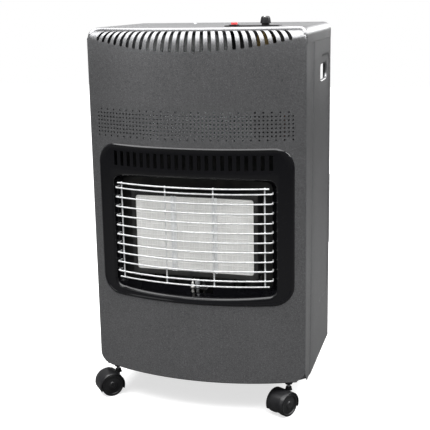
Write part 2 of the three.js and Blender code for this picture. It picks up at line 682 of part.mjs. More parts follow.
// A long wire turns back at both ends and stands off the walls of the mouth. It bends at
// each upright, so that the two meet there.
function guardWire(z, half, hooked) {
  const stops = [...spread(-half, half, 6), ...GUARD_UPRIGHT_X];
  const across = stops.sort((a, b) => a - b).map((x) => [x, bowY(x) - GUARD_OUT, z]);
  if (!hooked) {
    return bent(across, WIRE_R, 8, 5);
  }
  const front = bowY(half) - GUARD_OUT;
  const tail = (side) => {
    const x = side * (half + GUARD_TURN);
    return [[x - side * GUARD_TUCK, GUARD_TAIL_Y, z], [x, (front + GUARD_TAIL_Y) / 2, z],
      [x, front + 4, z]];
  };
  return bent([...tail(-1), ...across, ...tail(1).reverse()], WIRE_R, 15, 5);
}

function wireGuard() {
  const long = spread(GUARD_LAST_BUT_ONE, GUARD_SECOND, GUARD_LONG_WIRES - 1)
    .map((z) => guardWire(z, GUARD_TURN_HALF, true));
  const short = [GUARD_TOP, GUARD_BOTTOM].map((z) => guardWire(z, GUARD_SHORT_HALF, false));
  const uprights = GUARD_UPRIGHT_X.map((x) =>
    rod(x, bowY(x) - GUARD_OUT + UPRIGHT_BEHIND, GUARD_BOTTOM - 2, GUARD_TOP + 2, WIRE_R, 6));
  return join([...long, ...short, ...uprights]);
}

// ---------------------------------------------------------------- burner

const plaqueX = (n) => n * (PLAQUE.width + PLAQUE.web);

function plaque(n) {
  const x = plaqueX(n);
  return box(x - PLAQUE.width / 2, x + PLAQUE.width / 2, PLAQUE.front, PLAQUE.front + PLAQUE.thick,
    PLAQUE.z0, PLAQUE.z0 + PLAQUE.height);
}

// The pressed frame that clamps the three plaques against the burner housing.
function burnerFrame() {
  const half = HOUSING.half + GAP + FRAME_SHEET;
  const z0 = HOUSING.z0 - GAP - FRAME_SHEET;
  const z1 = HOUSING.z1 + GAP + FRAME_SHEET;
  const front = PLAQUE.front - GAP - FRAME_SHEET;
  const inner = half - FRAME_SHEET;
  const shell = box(-half, half, front, front + FRAME_DEPTH, z0, z1)
    .subtract(box(-inner, inner, front + FRAME_SHEET, DEPTH, z0 + FRAME_SHEET, z1 - FRAME_SHEET));
  const openings = [-1, 0, 1].map((n) => box(
    plaqueX(n) - PLAQUE.width / 2 + FRAME_LIP, plaqueX(n) + PLAQUE.width / 2 - FRAME_LIP,
    front - 1, front + FRAME_SHEET + 1,
    PLAQUE.z0 + FRAME_LIP, PLAQUE.z0 + PLAQUE.height - FRAME_LIP));
  return cutAll(shell, openings);
}

function burnerHousing() {
  const { half, z0, z1, rear } = HOUSING;
  const front = PLAQUE.front + PLAQUE.thick + GAP;
  const shell = box(-half, half, front, rear, z0, z1)
    .subtract(box(-half + SHEET, half - SHEET, front - 1, rear - SHEET, z0 + SHEET, z1 - SHEET));
  const inlets = [-1, 0, 1].map((n) => rod(plaqueX(n), TUBE_Y, z0 - 1, z0 + 3, TUBE_BORE_R, 16));
  return cutAll(shell, inlets);
}

function mixingTube(n) {
  const flare = BELL_BOTTOM + BELL_HEIGHT;
  const wall = TUBE_R - TUBE_BORE_R;
  return turned([
    [BELL_R - wall, BELL_BOTTOM], [BELL_R, BELL_BOTTOM], [TUBE_R, flare],
    [TUBE_R, HOUSING.z0 - GAP], [TUBE_BORE_R, HOUSING.z0 - GAP], [TUBE_BORE_R, flare],
  ], plaqueX(n), TUBE_Y, 16);
}

const RAIL_LEFT = plaqueX(-1) - RAIL_END;
const RAIL_RIGHT = KNOB.x - 3.5;

function gasRail() {
  const rail = rodX(RAIL_LEFT, RAIL_RIGHT, TUBE_Y, RAIL_Z, RAIL_R, 12);
  const tip = BELL_BOTTOM - 2;
  const injectors = [-1, 0, 1].map((n) => turned([
    [0, RAIL_Z], [INJECTOR_R, RAIL_Z], [INJECTOR_R, tip - 3], [INJECTOR_TIP_R, tip], [0, tip],
  ], plaqueX(n), TUBE_Y, 8));
  return join([rail, ...injectors]);
}

// ---------------------------------------------------------------- pilot

const FRAME_FOOT = HOUSING.z0 - GAP - FRAME_SHEET;

// An angle under the burner frame that holds the pilot burner, the spark and the probe.
function pilotBracket() {
  const { x, y, z } = PILOT;
  const { left, right, front, rear } = PILOT_BRACKET;
  const hole = (place, r) => rod(place, y, 0, TOP, r + GAP, 12);
  return box(x - left, x + right, y - front, y + rear, z - PILOT_SHEET, z)
    .add(box(x - left, x + right, y + rear - PILOT_SHEET, y + rear, z - PILOT_SHEET,
      FRAME_FOOT - GAP))
    .subtract(hole(x, PILOT.r))
    .subtract(hole(SPARK.x, SPARK.r))
    .subtract(hole(PROBE.x, PROBE.r));
}

// A small collar that rests on the bracket and carries the piece that passes through it.
const collar = (x, r, sides) =>
  pipeRing(x, PILOT.y, PILOT.z + GAP, PILOT.z + COLLAR_TOP, r - 0.5, r + 1.5, sides);

const PILOT_FOOT = PILOT.z - 12;
const SPARK_FOOT = PILOT.z - 16;

function pilotBurner() {
  const { x, y, z, r } = PILOT;
  return turned([[0, PILOT_FOOT], [r, PILOT_FOOT], [r, z + 6], [r + 2, z + 8], [r + 2, z + 14],
    [r + 0.6, z + 16.5], [0, z + 16.5]], x, y, 12).add(collar(x, r, 12));
}

function sparkElectrode() {
  const { x, r } = SPARK;
  const { y, z } = PILOT;
  const insulator = turned([[0, SPARK_FOOT], [r, SPARK_FOOT], [r, z + 9], [r - 0.5, z + 10.5],
    [0, z + 10.5]], x, y, 10);
  const wire = bent([[x, y, z + 9], [x, y, z + 13], [x + 1.4, y, z + 15.5],
    [x + 3.6, y, z + 17]], 0.8, 6, 6);
  return insulator.add(collar(x, r, 10)).add(wire);
}

// ---------------------------------------------------------------- controls

const VALVE_NECK_TOP = TOP - SHEET - GAP;
const KNOB_FOOT = PLATE_TOP + KNOB.travel + GAP;
const KNOB_CAVITY = KNOB_FOOT + KNOB_COLLAR.height;
const STEM_TOP = KNOB.top - 3.5;

function controlPlate() {
  const { x0, x1, y0, y1, r } = PLATE;
  return prismZ(roundedShape(x0, x1, y0, y1, r, r), TOP + GAP, PLATE_TOP, 4)
    .add(pipeRing(KNOB.x, KNOB.y, TOP + GAP, PLATE_TOP + KNOB_COLLAR.height, PLUNGER_R + 1,
      KNOB_COLLAR.r, 24))
    .subtract(rod(KNOB.x, KNOB.y, 0, 2 * TOP, PLUNGER_R + 1, 16))
    .subtract(rod(BUTTON.x, BUTTON.y, 0, 2 * TOP, IGNITER.r + GAP, 20));
}

// A knob whose skirt reaches over the plate's collar, with a pointer groove across its top.
function controlKnob() {
  const { x, y, r, top_r, top } = KNOB;
  const bore = STEM_R + GAP;
  const cavity = KNOB_COLLAR.r + 2 * GAP;
  return turned([
    [0, STEM_TOP], [bore, STEM_TOP], [bore, KNOB_CAVITY], [cavity, KNOB_CAVITY],
    [cavity, KNOB_FOOT], [r, KNOB_FOOT], [r - 0.4, KNOB_FOOT + 4], [top_r + 0.6, top - 2.6],
    [top_r - 1.4, top - 0.6], [top_r - 4, top], [0, top],
  ], x, y, 24).subtract(box(x - 0.8, x + 0.8, y - r, y - 1, top - 1.4, top + 1));
}

const valveStem = () => rod(KNOB.x, KNOB.y, VALVE.z1 - 18, STEM_TOP - GAP, STEM_R, 12);

const valvePlunger = () => pipeRing(KNOB.x, KNOB.y, VALVE.z1 - 20, VALVE_NECK_TOP - 2,
  STEM_R + GAP, PLUNGER_R, 12);

function valveBody() {
  const { x, y } = KNOB;
  const { half, z0, z1, neck_r, bore } = VALVE;
  const nut = VALVE_NECK_TOP - 1.5;
  return box(x - half, x + half, y - half, y + half, z0, z1)
    .add(rod(x, y, z1 - 1, VALVE_NECK_TOP, neck_r, 16))
    .add(rod(x, y, nut - NUT.height, nut, neck_r + NUT.grow, 6))
    .subtract(rod(x, y, z1 - bore, TOP, PLUNGER_R + GAP, 16));
}

function igniterBody() {
  const { x, y, r, travel, foot } = BUTTON;
  const rest = PLATE_TOP + GAP;
  const nut = TOP - SHEET - GAP;
  return rod(x, y, IGNITER.z0, rest + IGNITER.flange, IGNITER.r, 20)
    .add(rod(x, y, rest, rest + IGNITER.flange, IGNITER.flange_r, 20))
    .add(rod(x, y, nut - NUT.height, nut, IGNITER.r + NUT.grow, 6))
    .subtract(rod(x, y, foot - travel - 2, TOP + 20, r + GAP, 16));
}

function igniterButton() {
  const { x, y, r, top, foot } = BUTTON;
  return turned([[0, foot], [r, foot], [r, top - 1.2], [r - 1.4, top], [0, top]], x, y, 16);
}

// ---------------------------------------------------------------- pipes and leads

const LANE_Y = (BULKHEAD.y + SHEET + SHIELD.y) / 2 + 8;
const LANE_TOP = VALVE.z0 - 36;
const LOW_Z = BULKHEAD.z0 - 12;   // and pass forward under the bulkhead
const LANE_FOOT = LOW_Z + 20;

// Heights down the lane and places between the pilot and another x, both as shares.
const down = (share) => LANE_TOP + (LANE_FOOT - LANE_TOP) * share;
const fromPilot = (x, share) => PILOT.x + (x - PILOT.x) * share;

// From the valve's right side down to the end of the gas rail.
function mainGasPipe() {
  const x = KNOB.x + VALVE.half;
  const port = VALVE.z0 + 14;
  return bent([[x + GAP, KNOB.y, port], [x + 8, KNOB.y, port], [x + 16, KNOB.y + 6, port - 10],
    [x + 18, LANE_Y - 8, down(0)], [x + 18, LANE_Y - 6, down(0.3)],
    [x + 18, LANE_Y - 6, down(0.7)], [x + 18, LANE_Y - 8, down(1)], [x + 14, TUBE_Y + 12, LOW_Z],
    [x + 6, TUBE_Y, LOW_Z + 4], [x - 4, TUBE_Y, RAIL_Z - 6], [x - 10, TUBE_Y, RAIL_Z],
    [RAIL_RIGHT + GAP, TUBE_Y, RAIL_Z]], MAIN_PIPE_R, 34, 8);
}

// From under the valve down to the pilot burner.
function pilotGasPipe() {
  const { x, y } = PILOT;
  const lane = KNOB.x;
  return bent([[lane + 6, KNOB.y, VALVE.z0 - GAP], [lane + 6, KNOB.y, VALVE.z0 - 10],
    [lane + 4, LANE_Y - 8, down(0)], [lane + 2, LANE_Y, down(0.09)], [lane, LANE_Y, down(0.5)],
    [lane, LANE_Y, LOW_Z + 10], [lane - 14, LANE_Y - 10, LOW_Z - 10],
    [fromPilot(lane, 0.43), y + 6, LOW_Z - 6], [fromPilot(lane, 0.16), y - 4, LOW_Z + 8],
    [x + 3, y, LOW_Z + 34], [x, y, PILOT_FOOT - 18], [x, y, PILOT_FOOT - GAP]],
  PILOT_PIPE_R, 34, 6);
}

// The thermocouple: its probe by the pilot flame, and its lead up to the valve's magnet.
function thermocouple() {
  const { y, z } = PILOT;
  const { x, r } = PROBE;
  const lane = KNOB.x - 8;
  const probe = turned([[0, z - 14], [r, z - 14], [r, z + 12], [r - 0.8, z + 17], [0, z + 17]],
    x, y, 10);
  const lead = bent([[x, y, z - 12], [x, y, z - 34], [x + 10, y, LOW_Z + 22],
    [fromPilot(KNOB.x, 0.43), y + 16, LOW_Z + 5], [lane - 12, LANE_Y - 14, LOW_Z + 2],
    [lane, LANE_Y, LOW_Z + 24], [lane, LANE_Y + 1, LOW_Z + 60], [lane, LANE_Y + 1, down(0.5)],
    [lane, LANE_Y + 1, down(0.09)], [lane + 1, LANE_Y - 6, down(0)],
    [lane + 2, KNOB.y, VALVE.z0 - 12], [lane + 2, KNOB.y, VALVE.z0 - GAP]],
  PROBE_LEAD_R, 36, 6);
  return probe.add(collar(x, r, 10)).add(lead);
}

// The high-tension lead from the igniter to the spark electrode.
function ignitionLead() {
  const lane = BUTTON.x;
  const { y } = PILOT;
  const { x } = SPARK;
  const start = BUTTON.y + 5.5;
  return bent([[lane, start, IGNITER.z0 - GAP], [lane, start + 2, IGNITER.z0 - 14],
    [lane, LANE_Y - 6, down(0)], [lane, LANE_Y, down(0.09)], [lane, LANE_Y, down(0.5)],
    [lane, LANE_Y, down(0.96)], [lane - 6, LANE_Y - 8, LOW_Z - 4],
    [fromPilot(lane, 0.7), 2, LOW_Z - 16], [x + 14, y - 2, LOW_Z - 2], [x, y, LOW_Z + 28],
    [x, y, SPARK_FOOT - 16], [x, y, SPARK_FOOT - GAP]], LEAD_R, 32, 6);
}

// From the valve back through the heat shield and down to the hose tail.
function inletPipe() {
  const { y, z, drop, bend, r } = INLET;
  const start = KNOB.y + VALVE.half + GAP;
  const corner = bend / 4;
  return bent([[KNOB.x, start, z], [KNOB.x, start + 10, z], [KNOB.x, y - bend, z],
    [KNOB.x, y - corner, z - corner], [KNOB.x, y, z - bend], [KNOB.x, y, z - drop]], r, 16, 8)
    .add(hoseTail());
}

// The barbed tail at the end of the inlet pipe, where the hose goes on.
function hoseTail() {
  const { r, length, bore_r, groove, barb, nut_r, nut } = TAIL;
  const top = INLET.z - INLET.drop + 1;
  const foot = top - length;
  const neck = r - groove;
  const barbs = [1, 2, 3].flatMap((n) => [[r, foot + n * barb - 1], [neck, foot + n * barb - 0.7]]);
  return turned([[bore_r, foot], [neck, foot], ...barbs, [neck, top - nut], [nut_r, top - nut],
    [nut_r, top], [bore_r, top]], KNOB.x, INLET.y, 12);
}

// ---------------------------------------------------------------- casters

const AXLE_Z = WHEEL_R * Math.cos(Math.PI / WHEEL_SIDES);
const HALF_WEB = HOOD_WEB / 2;
const HOOD_HALF = WHEEL_PITCH / 2 + WHEEL_WIDTH / 2 + 1;

// Caster pieces are made with the stem at the origin and the wheels trailing towards -Y.
function hood() {
  const arch = new THREE.Shape();
  const foot = AXLE_Z - HOOD_SKIRT;
  const outer = Math.sqrt(HOOD_R ** 2 - HOOD_SKIRT ** 2);
  const inner_r = HOOD_R - HOOD_WALL;
  const inner = Math.sqrt(inner_r ** 2 - HOOD_SKIRT ** 2);
  const low = Math.atan2(-HOOD_SKIRT, outer);
  const low_in = Math.atan2(-HOOD_SKIRT, inner);
  arch.moveTo(-CASTER_TRAIL + outer, foot);
  arch.absarc(-CASTER_TRAIL, AXLE_Z, HOOD_R, low, Math.PI - low, false);
  arch.lineTo(-CASTER_TRAIL - inner, foot);
  arch.absarc(-CASTER_TRAIL, AXLE_Z, inner_r, Math.PI - low_in, low_in, true);
  const disc = new THREE.Shape();
  disc.moveTo(-CASTER_TRAIL + outer - 1, foot);
  disc.absarc(-CASTER_TRAIL, AXLE_Z, HOOD_R - 1, low, Math.PI - low, false);
  const axle = rodX(-HOOD_HALF, HOOD_HALF, -CASTER_TRAIL, AXLE_Z, AXLE_R + GAP, 12);
  return prismX(arch, -HOOD_HALF, HOOD_HALF, 9)
    .add(prismX(disc, -HALF_WEB, HALF_WEB, 9))
    .add(rod(0, 0, AXLE_Z + 4, NECK_TOP, NECK_R, 14)
      .subtract(rodX(-HOOD_HALF, HOOD_HALF, -CASTER_TRAIL, AXLE_Z, HOOD_R - 1, 16)))
    .subtract(axle)
    .subtract(rod(0, 0, AXLE_Z + 8, NECK_TOP + 1, CASTER_STEM_R + GAP, 12));
}

// A wheel with a tread, a sunk outer face and a hub. side is the way its face looks.
function wheel(side) {
  const inner = WHEEL_PITCH / 2 - WHEEL_WIDTH / 2;
  const outer = inner + WHEEL_WIDTH;
  const rim = WHEEL_R - 3.5;
  const bore = AXLE_R + GAP;
  const points = [[bore, inner], [WHEEL_R, inner], [WHEEL_R, outer - 1.5],
    [WHEEL_R - 1.5, outer], [rim, outer], [rim - 1, outer - 2.5], [7, outer - 2], [6, outer],
    [bore, outer]].map(([r, x]) => new THREE.Vector2(r, x));
  const body = new THREE.LatheGeometry([...points, points[0].clone()], WHEEL_SIDES);
  body.rotateY(Math.PI / WHEEL_SIDES);
  body.rotateZ(-side * Math.PI / 2);
  body.translate(0, -CASTER_TRAIL, AXLE_Z);
  return turnOut(solid(body), body);
}

const axlePin = () => rodX(-HOOD_HALF + 1, HOOD_HALF - 1, -CASTER_TRAIL, AXLE_Z, AXLE_R, 12);
const casterStem = () => rod(0, 0, AXLE_Z + 8 + GAP, TRAY_Z - 2.5, CASTER_STEM_R, 12);

const casterSocket = () => turned([
  [0, TRAY_Z - 2], [CASTER_STEM_R + GAP, TRAY_Z - 2], [CASTER_STEM_R + GAP, SOCKET_BOTTOM],
  [SOCKET_R, SOCKET_BOTTOM], [SOCKET_R, TRAY_Z - GAP - SOCKET_FLANGE],
  [SOCKET_FLANGE_R, TRAY_Z - GAP - SOCKET_FLANGE], [SOCKET_FLANGE_R, TRAY_Z - GAP],
  [0, TRAY_Z - GAP],
], 0, 0, 14);

function caster(corner, { x, y, heading }) {
  const group = new THREE.Group();
  const turning = new THREE.Group();
  turning.add(
    part(`caster_stem_${corner}`, casterStem(), zinc()),
    part(`caster_hood_${corner}`, hood(), black_plastic()),
    part(`caster_axle_${corner}`, axlePin(), zinc()),
    part(`caster_wheel_outer_${corner}`, wheel(1), black_plastic()),
    part(`caster_wheel_inner_${corner}`, wheel(-1), black_plastic()),
  );
  turning.rotation.z = (heading + 90) * Math.PI / 180;
  group.add(part(`caster_socket_${corner}`, casterSocket(), black_plastic()), turning);
  group.position.set(x, y, 0);
  return group;
}

// ---------------------------------------------------------------- assembly

const heater = new THREE.Group();
heater.name = 'gas_cabinet_heater';
heater.add(
  part('front_panel', frontPanel(), graphite()),
  part('top_cover', topCover(), graphite()),
  part('side_panel_left', sidePanel(-1), graphite()),
  part('side_panel_right', sidePanel(1), graphite()),
  part('base_tray', baseTray(), graphite()),
  part('bulkhead', bulkhead(), zinc()),
  part('heat_shield', heatShield(), zinc()),
  part('heat_deflector', heatDeflector(), bright_steel()),
  part('surround', surround(), black_enamel()),
  part('wire_guard', wireGuard(), bright_steel()),
  part('plaque_left', plaque(-1), ceramic()),
  part('plaque_middle', plaque(0), ceramic()),
  part('plaque_right', plaque(1), ceramic()),
  part('burner_frame', burnerFrame(), bright_steel()),
  part('burner_housing', burnerHousing(), zinc()),
  part('mixing_tube_left', mixingTube(-1), zinc()),
  part('mixing_tube_middle', mixingTube(0), zinc()),
  part('mixing_tube_right', mixingTube(1), zinc()),
  part('gas_rail', gasRail(), brass()),
  part('pilot_bracket', pilotBracket(), zinc()),
  part('pilot_burner', pilotBurner(), bright_steel()),
  part('spark_electrode', sparkElectrode(), ceramic()),
  part('thermocouple', thermocouple(), copper()),
  part('control_plate', controlPlate(), graphite()),
  part('control_knob', controlKnob(), black_plastic()),
  part('valve_stem', valveStem(), brass()),
  part('valve_plunger', valvePlunger(), brass()),
  part('valve_body', valveBody(), brass()),
  part('igniter_body', igniterBody(), black_plastic()),
  part('igniter_button', igniterButton(), red_plastic()),
  part('main_gas_pipe', mainGasPipe(), copper()),
  part('pilot_gas_pipe', pilotGasPipe(), copper()),
  part('ignition_lead', ignitionLead(), black_plastic()),
  part('inlet_pipe', inletPipe(), brass()),
);
const gate = new THREE.Group();
gate.add(
  part('bottle_gate', bottleGate(), black_enamel()),
  part('gate_hinge_pin', gateHingePin(), zinc()),
);
heater.add(gate);
for (const [corner, place] of Object.entries(CASTERS)) {
  heater.add(caster(corner, place));
}

// The origin goes to the floor, under the middle of the whole heater.
heater.updateMatrixWorld(true);
const reach = new THREE.Box3().setFromObject(heater, true);
heater.position.set(-(reach.min.x + reach.max.x) / 2, -(reach.min.y + reach.max.y) / 2, -reach.min.z);

export default heater;
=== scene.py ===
import math

import bmesh
import bpy
from mathutils import Matrix, Vector


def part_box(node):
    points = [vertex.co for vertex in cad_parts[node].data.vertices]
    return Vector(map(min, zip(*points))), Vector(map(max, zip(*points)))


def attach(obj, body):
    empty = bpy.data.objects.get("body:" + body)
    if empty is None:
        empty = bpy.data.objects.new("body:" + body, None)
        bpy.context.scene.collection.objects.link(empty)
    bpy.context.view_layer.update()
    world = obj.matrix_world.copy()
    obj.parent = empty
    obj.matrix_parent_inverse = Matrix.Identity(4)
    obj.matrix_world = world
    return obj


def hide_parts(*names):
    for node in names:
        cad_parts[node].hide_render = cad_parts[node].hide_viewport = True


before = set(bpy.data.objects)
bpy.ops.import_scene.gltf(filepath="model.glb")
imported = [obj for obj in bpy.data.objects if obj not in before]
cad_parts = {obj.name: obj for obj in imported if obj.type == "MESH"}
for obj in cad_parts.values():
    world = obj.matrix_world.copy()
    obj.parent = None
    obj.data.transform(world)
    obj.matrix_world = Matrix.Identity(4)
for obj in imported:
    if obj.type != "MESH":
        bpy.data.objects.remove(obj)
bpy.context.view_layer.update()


# ------------------------------------------------------------------ the cabinet's own measures
# Every piece is drawn in millimetres from the cabinet: x from its middle, y back
# from the line of its two front corners, and z up from the floor.

half_width = 210
rear = 269
cover_low, cover_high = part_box("top_cover")
middle_x = (cover_low[0] + cover_high[0]) / 2
corner_y = cover_high[1] - rear / 1000


def at(x, y, z):
    return Vector((middle_x + x / 1000, corner_y + y / 1000, z / 1000))


# ------------------------------------------------------------------ camera
# A long lens a step and a half in front of the heater and to its right, at about
# the height of its top and looking a little down.

side_turn = math.radians(16.33)
look_down = math.radians(12.0)
roll = math.radians(-1.0)
away = Vector((math.sin(side_turn) * math.cos(look_down),
               -math.cos(side_turn) * math.cos(look_down), math.sin(look_down)))
level_right = (-away).cross(Vector((0, 0, 1))).normalized()
level_up = level_right.cross(-away)
right = math.cos(roll) * level_right + math.sin(roll) * level_up
up = math.cos(roll) * level_up - math.sin(roll) * level_right
picture, focal_length, picture_drop = 430, 880.9, 30  # pixels
aim, eye_distance = at(36.9, 0, 440), 1.646
lens = bpy.data.cameras.new("camera")
lens.sensor_width = 36
lens.lens = focal_length / picture * lens.sensor_width
lens.shift_y = -picture_drop / picture
camera = bpy.data.objects.new("camera", lens)
facing = Matrix((right, up, away)).transposed().to_4x4()
camera.matrix_world = Matrix.Translation(aim + away * eye_distance) @ facing
bpy.context.collection.objects.link(camera)
bpy.context.scene.camera = camera
bpy.context.scene.view_settings.view_transform = "Standard"


# ------------------------------------------------------------------ front panel
# One sheet of steel bowed across the front: a curved shoulder with slots for the
# hot air, a band of punched holes, and a window that the burner's surround fits.
# Sprayed in a dark graphite paint with a fine metallic grain.

bow_depth = 48
bow_radius = (half_width ** 2 + bow_depth ** 2) / (2 * bow_depth)
panel_half, panel_foot, panel_corner = 209, 66, 21
window_half, window_foot, window_top = 178, 231, 505
band_foot, band_top, hole_r = 528.0, 584.8, 1.75
shoulder_seam = 660
sheet_steel = 1.2


def bow(x):
    """How far back the bowed front stands at x."""
    return bow_radius - bow_depth - math.sqrt(bow_radius ** 2 - x * x)


def steps(first, last, count):
    """Numbers from first to last in count equal steps."""
    return [first + (last - first) * i / count for i in range(count + 1)]


def lay(bm, rows, outward, keep=None, closed=False):
    """Lay faces over rows of points, and turn them to look the way outward points."""
    made = [[bm.verts.new(at(*p)) for p in row] for row in rows]
    faces = []
    for i in range(len(made) - 1):
        for j in range(len(made[i]) - (0 if closed else 1)):
            k = (j + 1) % len(made[i])
            if keep is None or keep(i, j):
                corners = (made[i][j], made[i][k], made[i + 1][k], made[i + 1][j])
                faces.append(bm.faces.new(corners))
    bm.normal_update()
    leaning = 0
    for face in faces:
        middle = face.calc_center_median()
        way = outward(middle) if callable(outward) else Vector(outward)
        leaning += face.normal.dot(way) * face.calc_area()
    if leaning < 0:
        bmesh.ops.reverse_faces(bm, faces=faces)
    return made


def make(name, bm, paint, body="cabinet", thick=0, edge=0, angle=38, weld=0.00002):
    """Turn a mesh into a piece: give sheet its thickness, ease its edges, paint it."""
    bmesh.ops.remove_doubles(bm, verts=bm.verts, dist=weld)
    mesh = bpy.data.meshes.new(name)
    bm.to_mesh(mesh)
    bm.free()
    piece = bpy.data.objects.new(name, mesh)
    bpy.context.collection.objects.link(piece)
    if thick:
        sheet = piece.modifiers.new("sheet", "SOLIDIFY")
        sheet.thickness = thick / 1000
        sheet.offset = -1
        sheet.use_even_offset = True
    if edge:
        eased = piece.modifiers.new("edge", "BEVEL")
        eased.width = edge / 1000
        eased.segments = 2
        eased.angle_limit = math.radians(45)
    shaped = piece.evaluated_get(bpy.context.evaluated_depsgraph_get())
    piece.data = bpy.data.meshes.new_from_object(shaped)
    piece.modifiers.clear()
    piece.data.shade_smooth()
    piece.data.set_sharp_from_angle(angle=math.radians(angle))
    piece.data.materials.clear()
    piece.data.materials.append(paint)
    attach(piece, body)
    return piece


class Field:
    """One output of a shader node. Arithmetic on it adds the nodes that work it out."""

    def __init__(self, tree, link=None):
        self.tree = tree
        self.link = link

    def node(self, kind, settings=None, values=None, output=0):
        made = self.tree.nodes.new(kind)
        for name, setting in (settings or {}).items():
            setattr(made, name, setting)
        for name, value in (values or {}).items():
            if isinstance(value, Field):
                self.tree.links.new(value.link, made.inputs[name])
            else:
                made.inputs[name].default_value = value
        return Field(self.tree, made.outputs[output])

    def math(self, operation, *values):
        return self.node("ShaderNodeMath", {"operation": operation}, dict(enumerate(values)))

    def __add__(self, other):
        return self.math("ADD", self, other)

    def __sub__(self, other):
        return self.math("SUBTRACT", self, other)

    def __rsub__(self, other):
        return self.math("SUBTRACT", other, self)

    def __mul__(self, other):
        return self.math("MULTIPLY", self, other)

    __radd__ = __add__
    __rmul__ = __mul__

    def place(self, *stretch):
        """The place on the piece in metres, stretched along its axes."""
        coordinates = self.node("ShaderNodeTexCoord", output=3)
        return self.node("ShaderNodeMapping", {}, {"Vector": coordinates, "Scale": stretch})

    def noise(self, scale, detail, stretch=(1, 1, 1)):
        return self.node("ShaderNodeTexNoise", {}, {
            "Vector": self.place(*stretch), "Scale": scale, "Detail": detail})

    def between(self, low, high):
        """Stretch the part of this field from low to high over nought to one."""
        return self.node("ShaderNodeMapRange", {}, {
            "Value": self, "From Min": low, "From Max": high})

    def blend(self, first, second):
        """Go from the first colour to the second as this field goes from nought to one."""
        return self.node("ShaderNodeMix", {"data_type": "RGBA"}, {
            0: self, 6: shade(first), 7: shade(second)}, output=2)

    def bump(self, height, strength):
        """A normal for this field as a relief of the given height in millimetres."""
        return self.node("ShaderNodeBump", {}, {
            "Height": self, "Distance": height / 1000, "Strength": strength})


def shade(colour):
    return colour if isinstance(colour, Field) else (*colour, 1)


def finish(name, shape, **constants):
    """A material whose varying sockets come from the shape function."""
    material = bpy.data.materials.new(name)
    material.use_nodes = True
    shader = material.node_tree.nodes["Principled BSDF"]
    for socket, value in constants.items():
        shader.inputs[socket.replace("_", " ")].default_value = value
    for socket, field in shape(Field(material.node_tree)).items():
        material.node_tree.links.new(field.link, shader.inputs[socket])
    return material


def graphite_paint(ground):
    grain = ground.noise(430, 3)
    mottle = ground.noise(170, 4)
    cloud = ground.noise(12, 2)
    fleck = ground.noise(1300, 0).between(0.6, 0.72)
    tone = (grain * 0.6 + mottle * 0.25 + cloud * 0.15).between(0.3, 0.7)
    base = tone.blend((0.1, 0.101, 0.104), (0.195, 0.196, 0.2))
    return {
        "Base Color": (fleck * 0.4).blend(base, (0.5, 0.5, 0.52)),
        "Roughness": grain * 0.2 + 0.28,
        "Normal": (grain + mottle * 0.5 + fleck * 0.5).bump(0.05, 0.35),
    }


graphite = finish("graphite_paint", graphite_paint, Metallic=0.75, Coat_Weight=0.3,
                  Coat_Roughness=0.3)

cover_top, crest = 731, 725
round_r = 16
flat_half = half_width - round_r
seam_back, seam_back_end, seam_gap = 20, 3, 0.3
shoulder_tall, shoulder_tall_end = 42, 16


def edge_drop(x, half):
    """How far the rounded edge has fallen at x, for a top that reaches to half."""
    over = abs(x) - (half - round_r)
    return round_r - math.sqrt(max(round_r ** 2 - over * over, 0)) if over > 0 else 0


def seam_y(x):
    """Where the cover meets the shoulder."""
    over = max(abs(x) - flat_half, 0) / round_r
    return (bow(x) + seam_back) * (1 - over) + (bow(panel_half) + seam_back_end) * over


def shoulder_foot(x):
    """The height at which the plain front starts to curve back: lowest in the middle."""
    end = (x / panel_half) ** 2
    return min(crest - shoulder_tall * (1 - end) - shoulder_tall_end * end,
               crest - edge_drop(x, panel_half) - 1)


def shoulder_point(start, rise):
    """A point on the shoulder, on the fan line that starts at x = start on the seam."""
    fan_half, fan_length, halvings = 171.4, 120, 24
    outer = max(abs(start) - fan_half, 0) / (panel_half - fan_half)
    spread = start / fan_length * (1 - outer)
    near, far = -1.0, 40.0
    for _ in range(halvings):
        forward = (near + far) / 2
        x = start + forward * spread
        y = seam_y(start) - seam_gap - forward
        deep = seam_y(x) - seam_gap - bow(x)
        if y - bow(x) > deep * (1 - math.cos(rise)):
            near = forward
        else:
            far = forward
    top = crest - edge_drop(x, panel_half)
    foot = shoulder_foot(x)
    return x, bow(x) + deep * (1 - math.cos(rise)), foot + (top - foot) * math.sin(rise)


def rise_to(lift, x):
    """The turn at which the shoulder at x stands lift over its foot."""
    tall = crest - edge_drop(x, panel_half) - shoulder_foot(x)
    return math.asin(min(lift / max(tall, 9), 0.95))


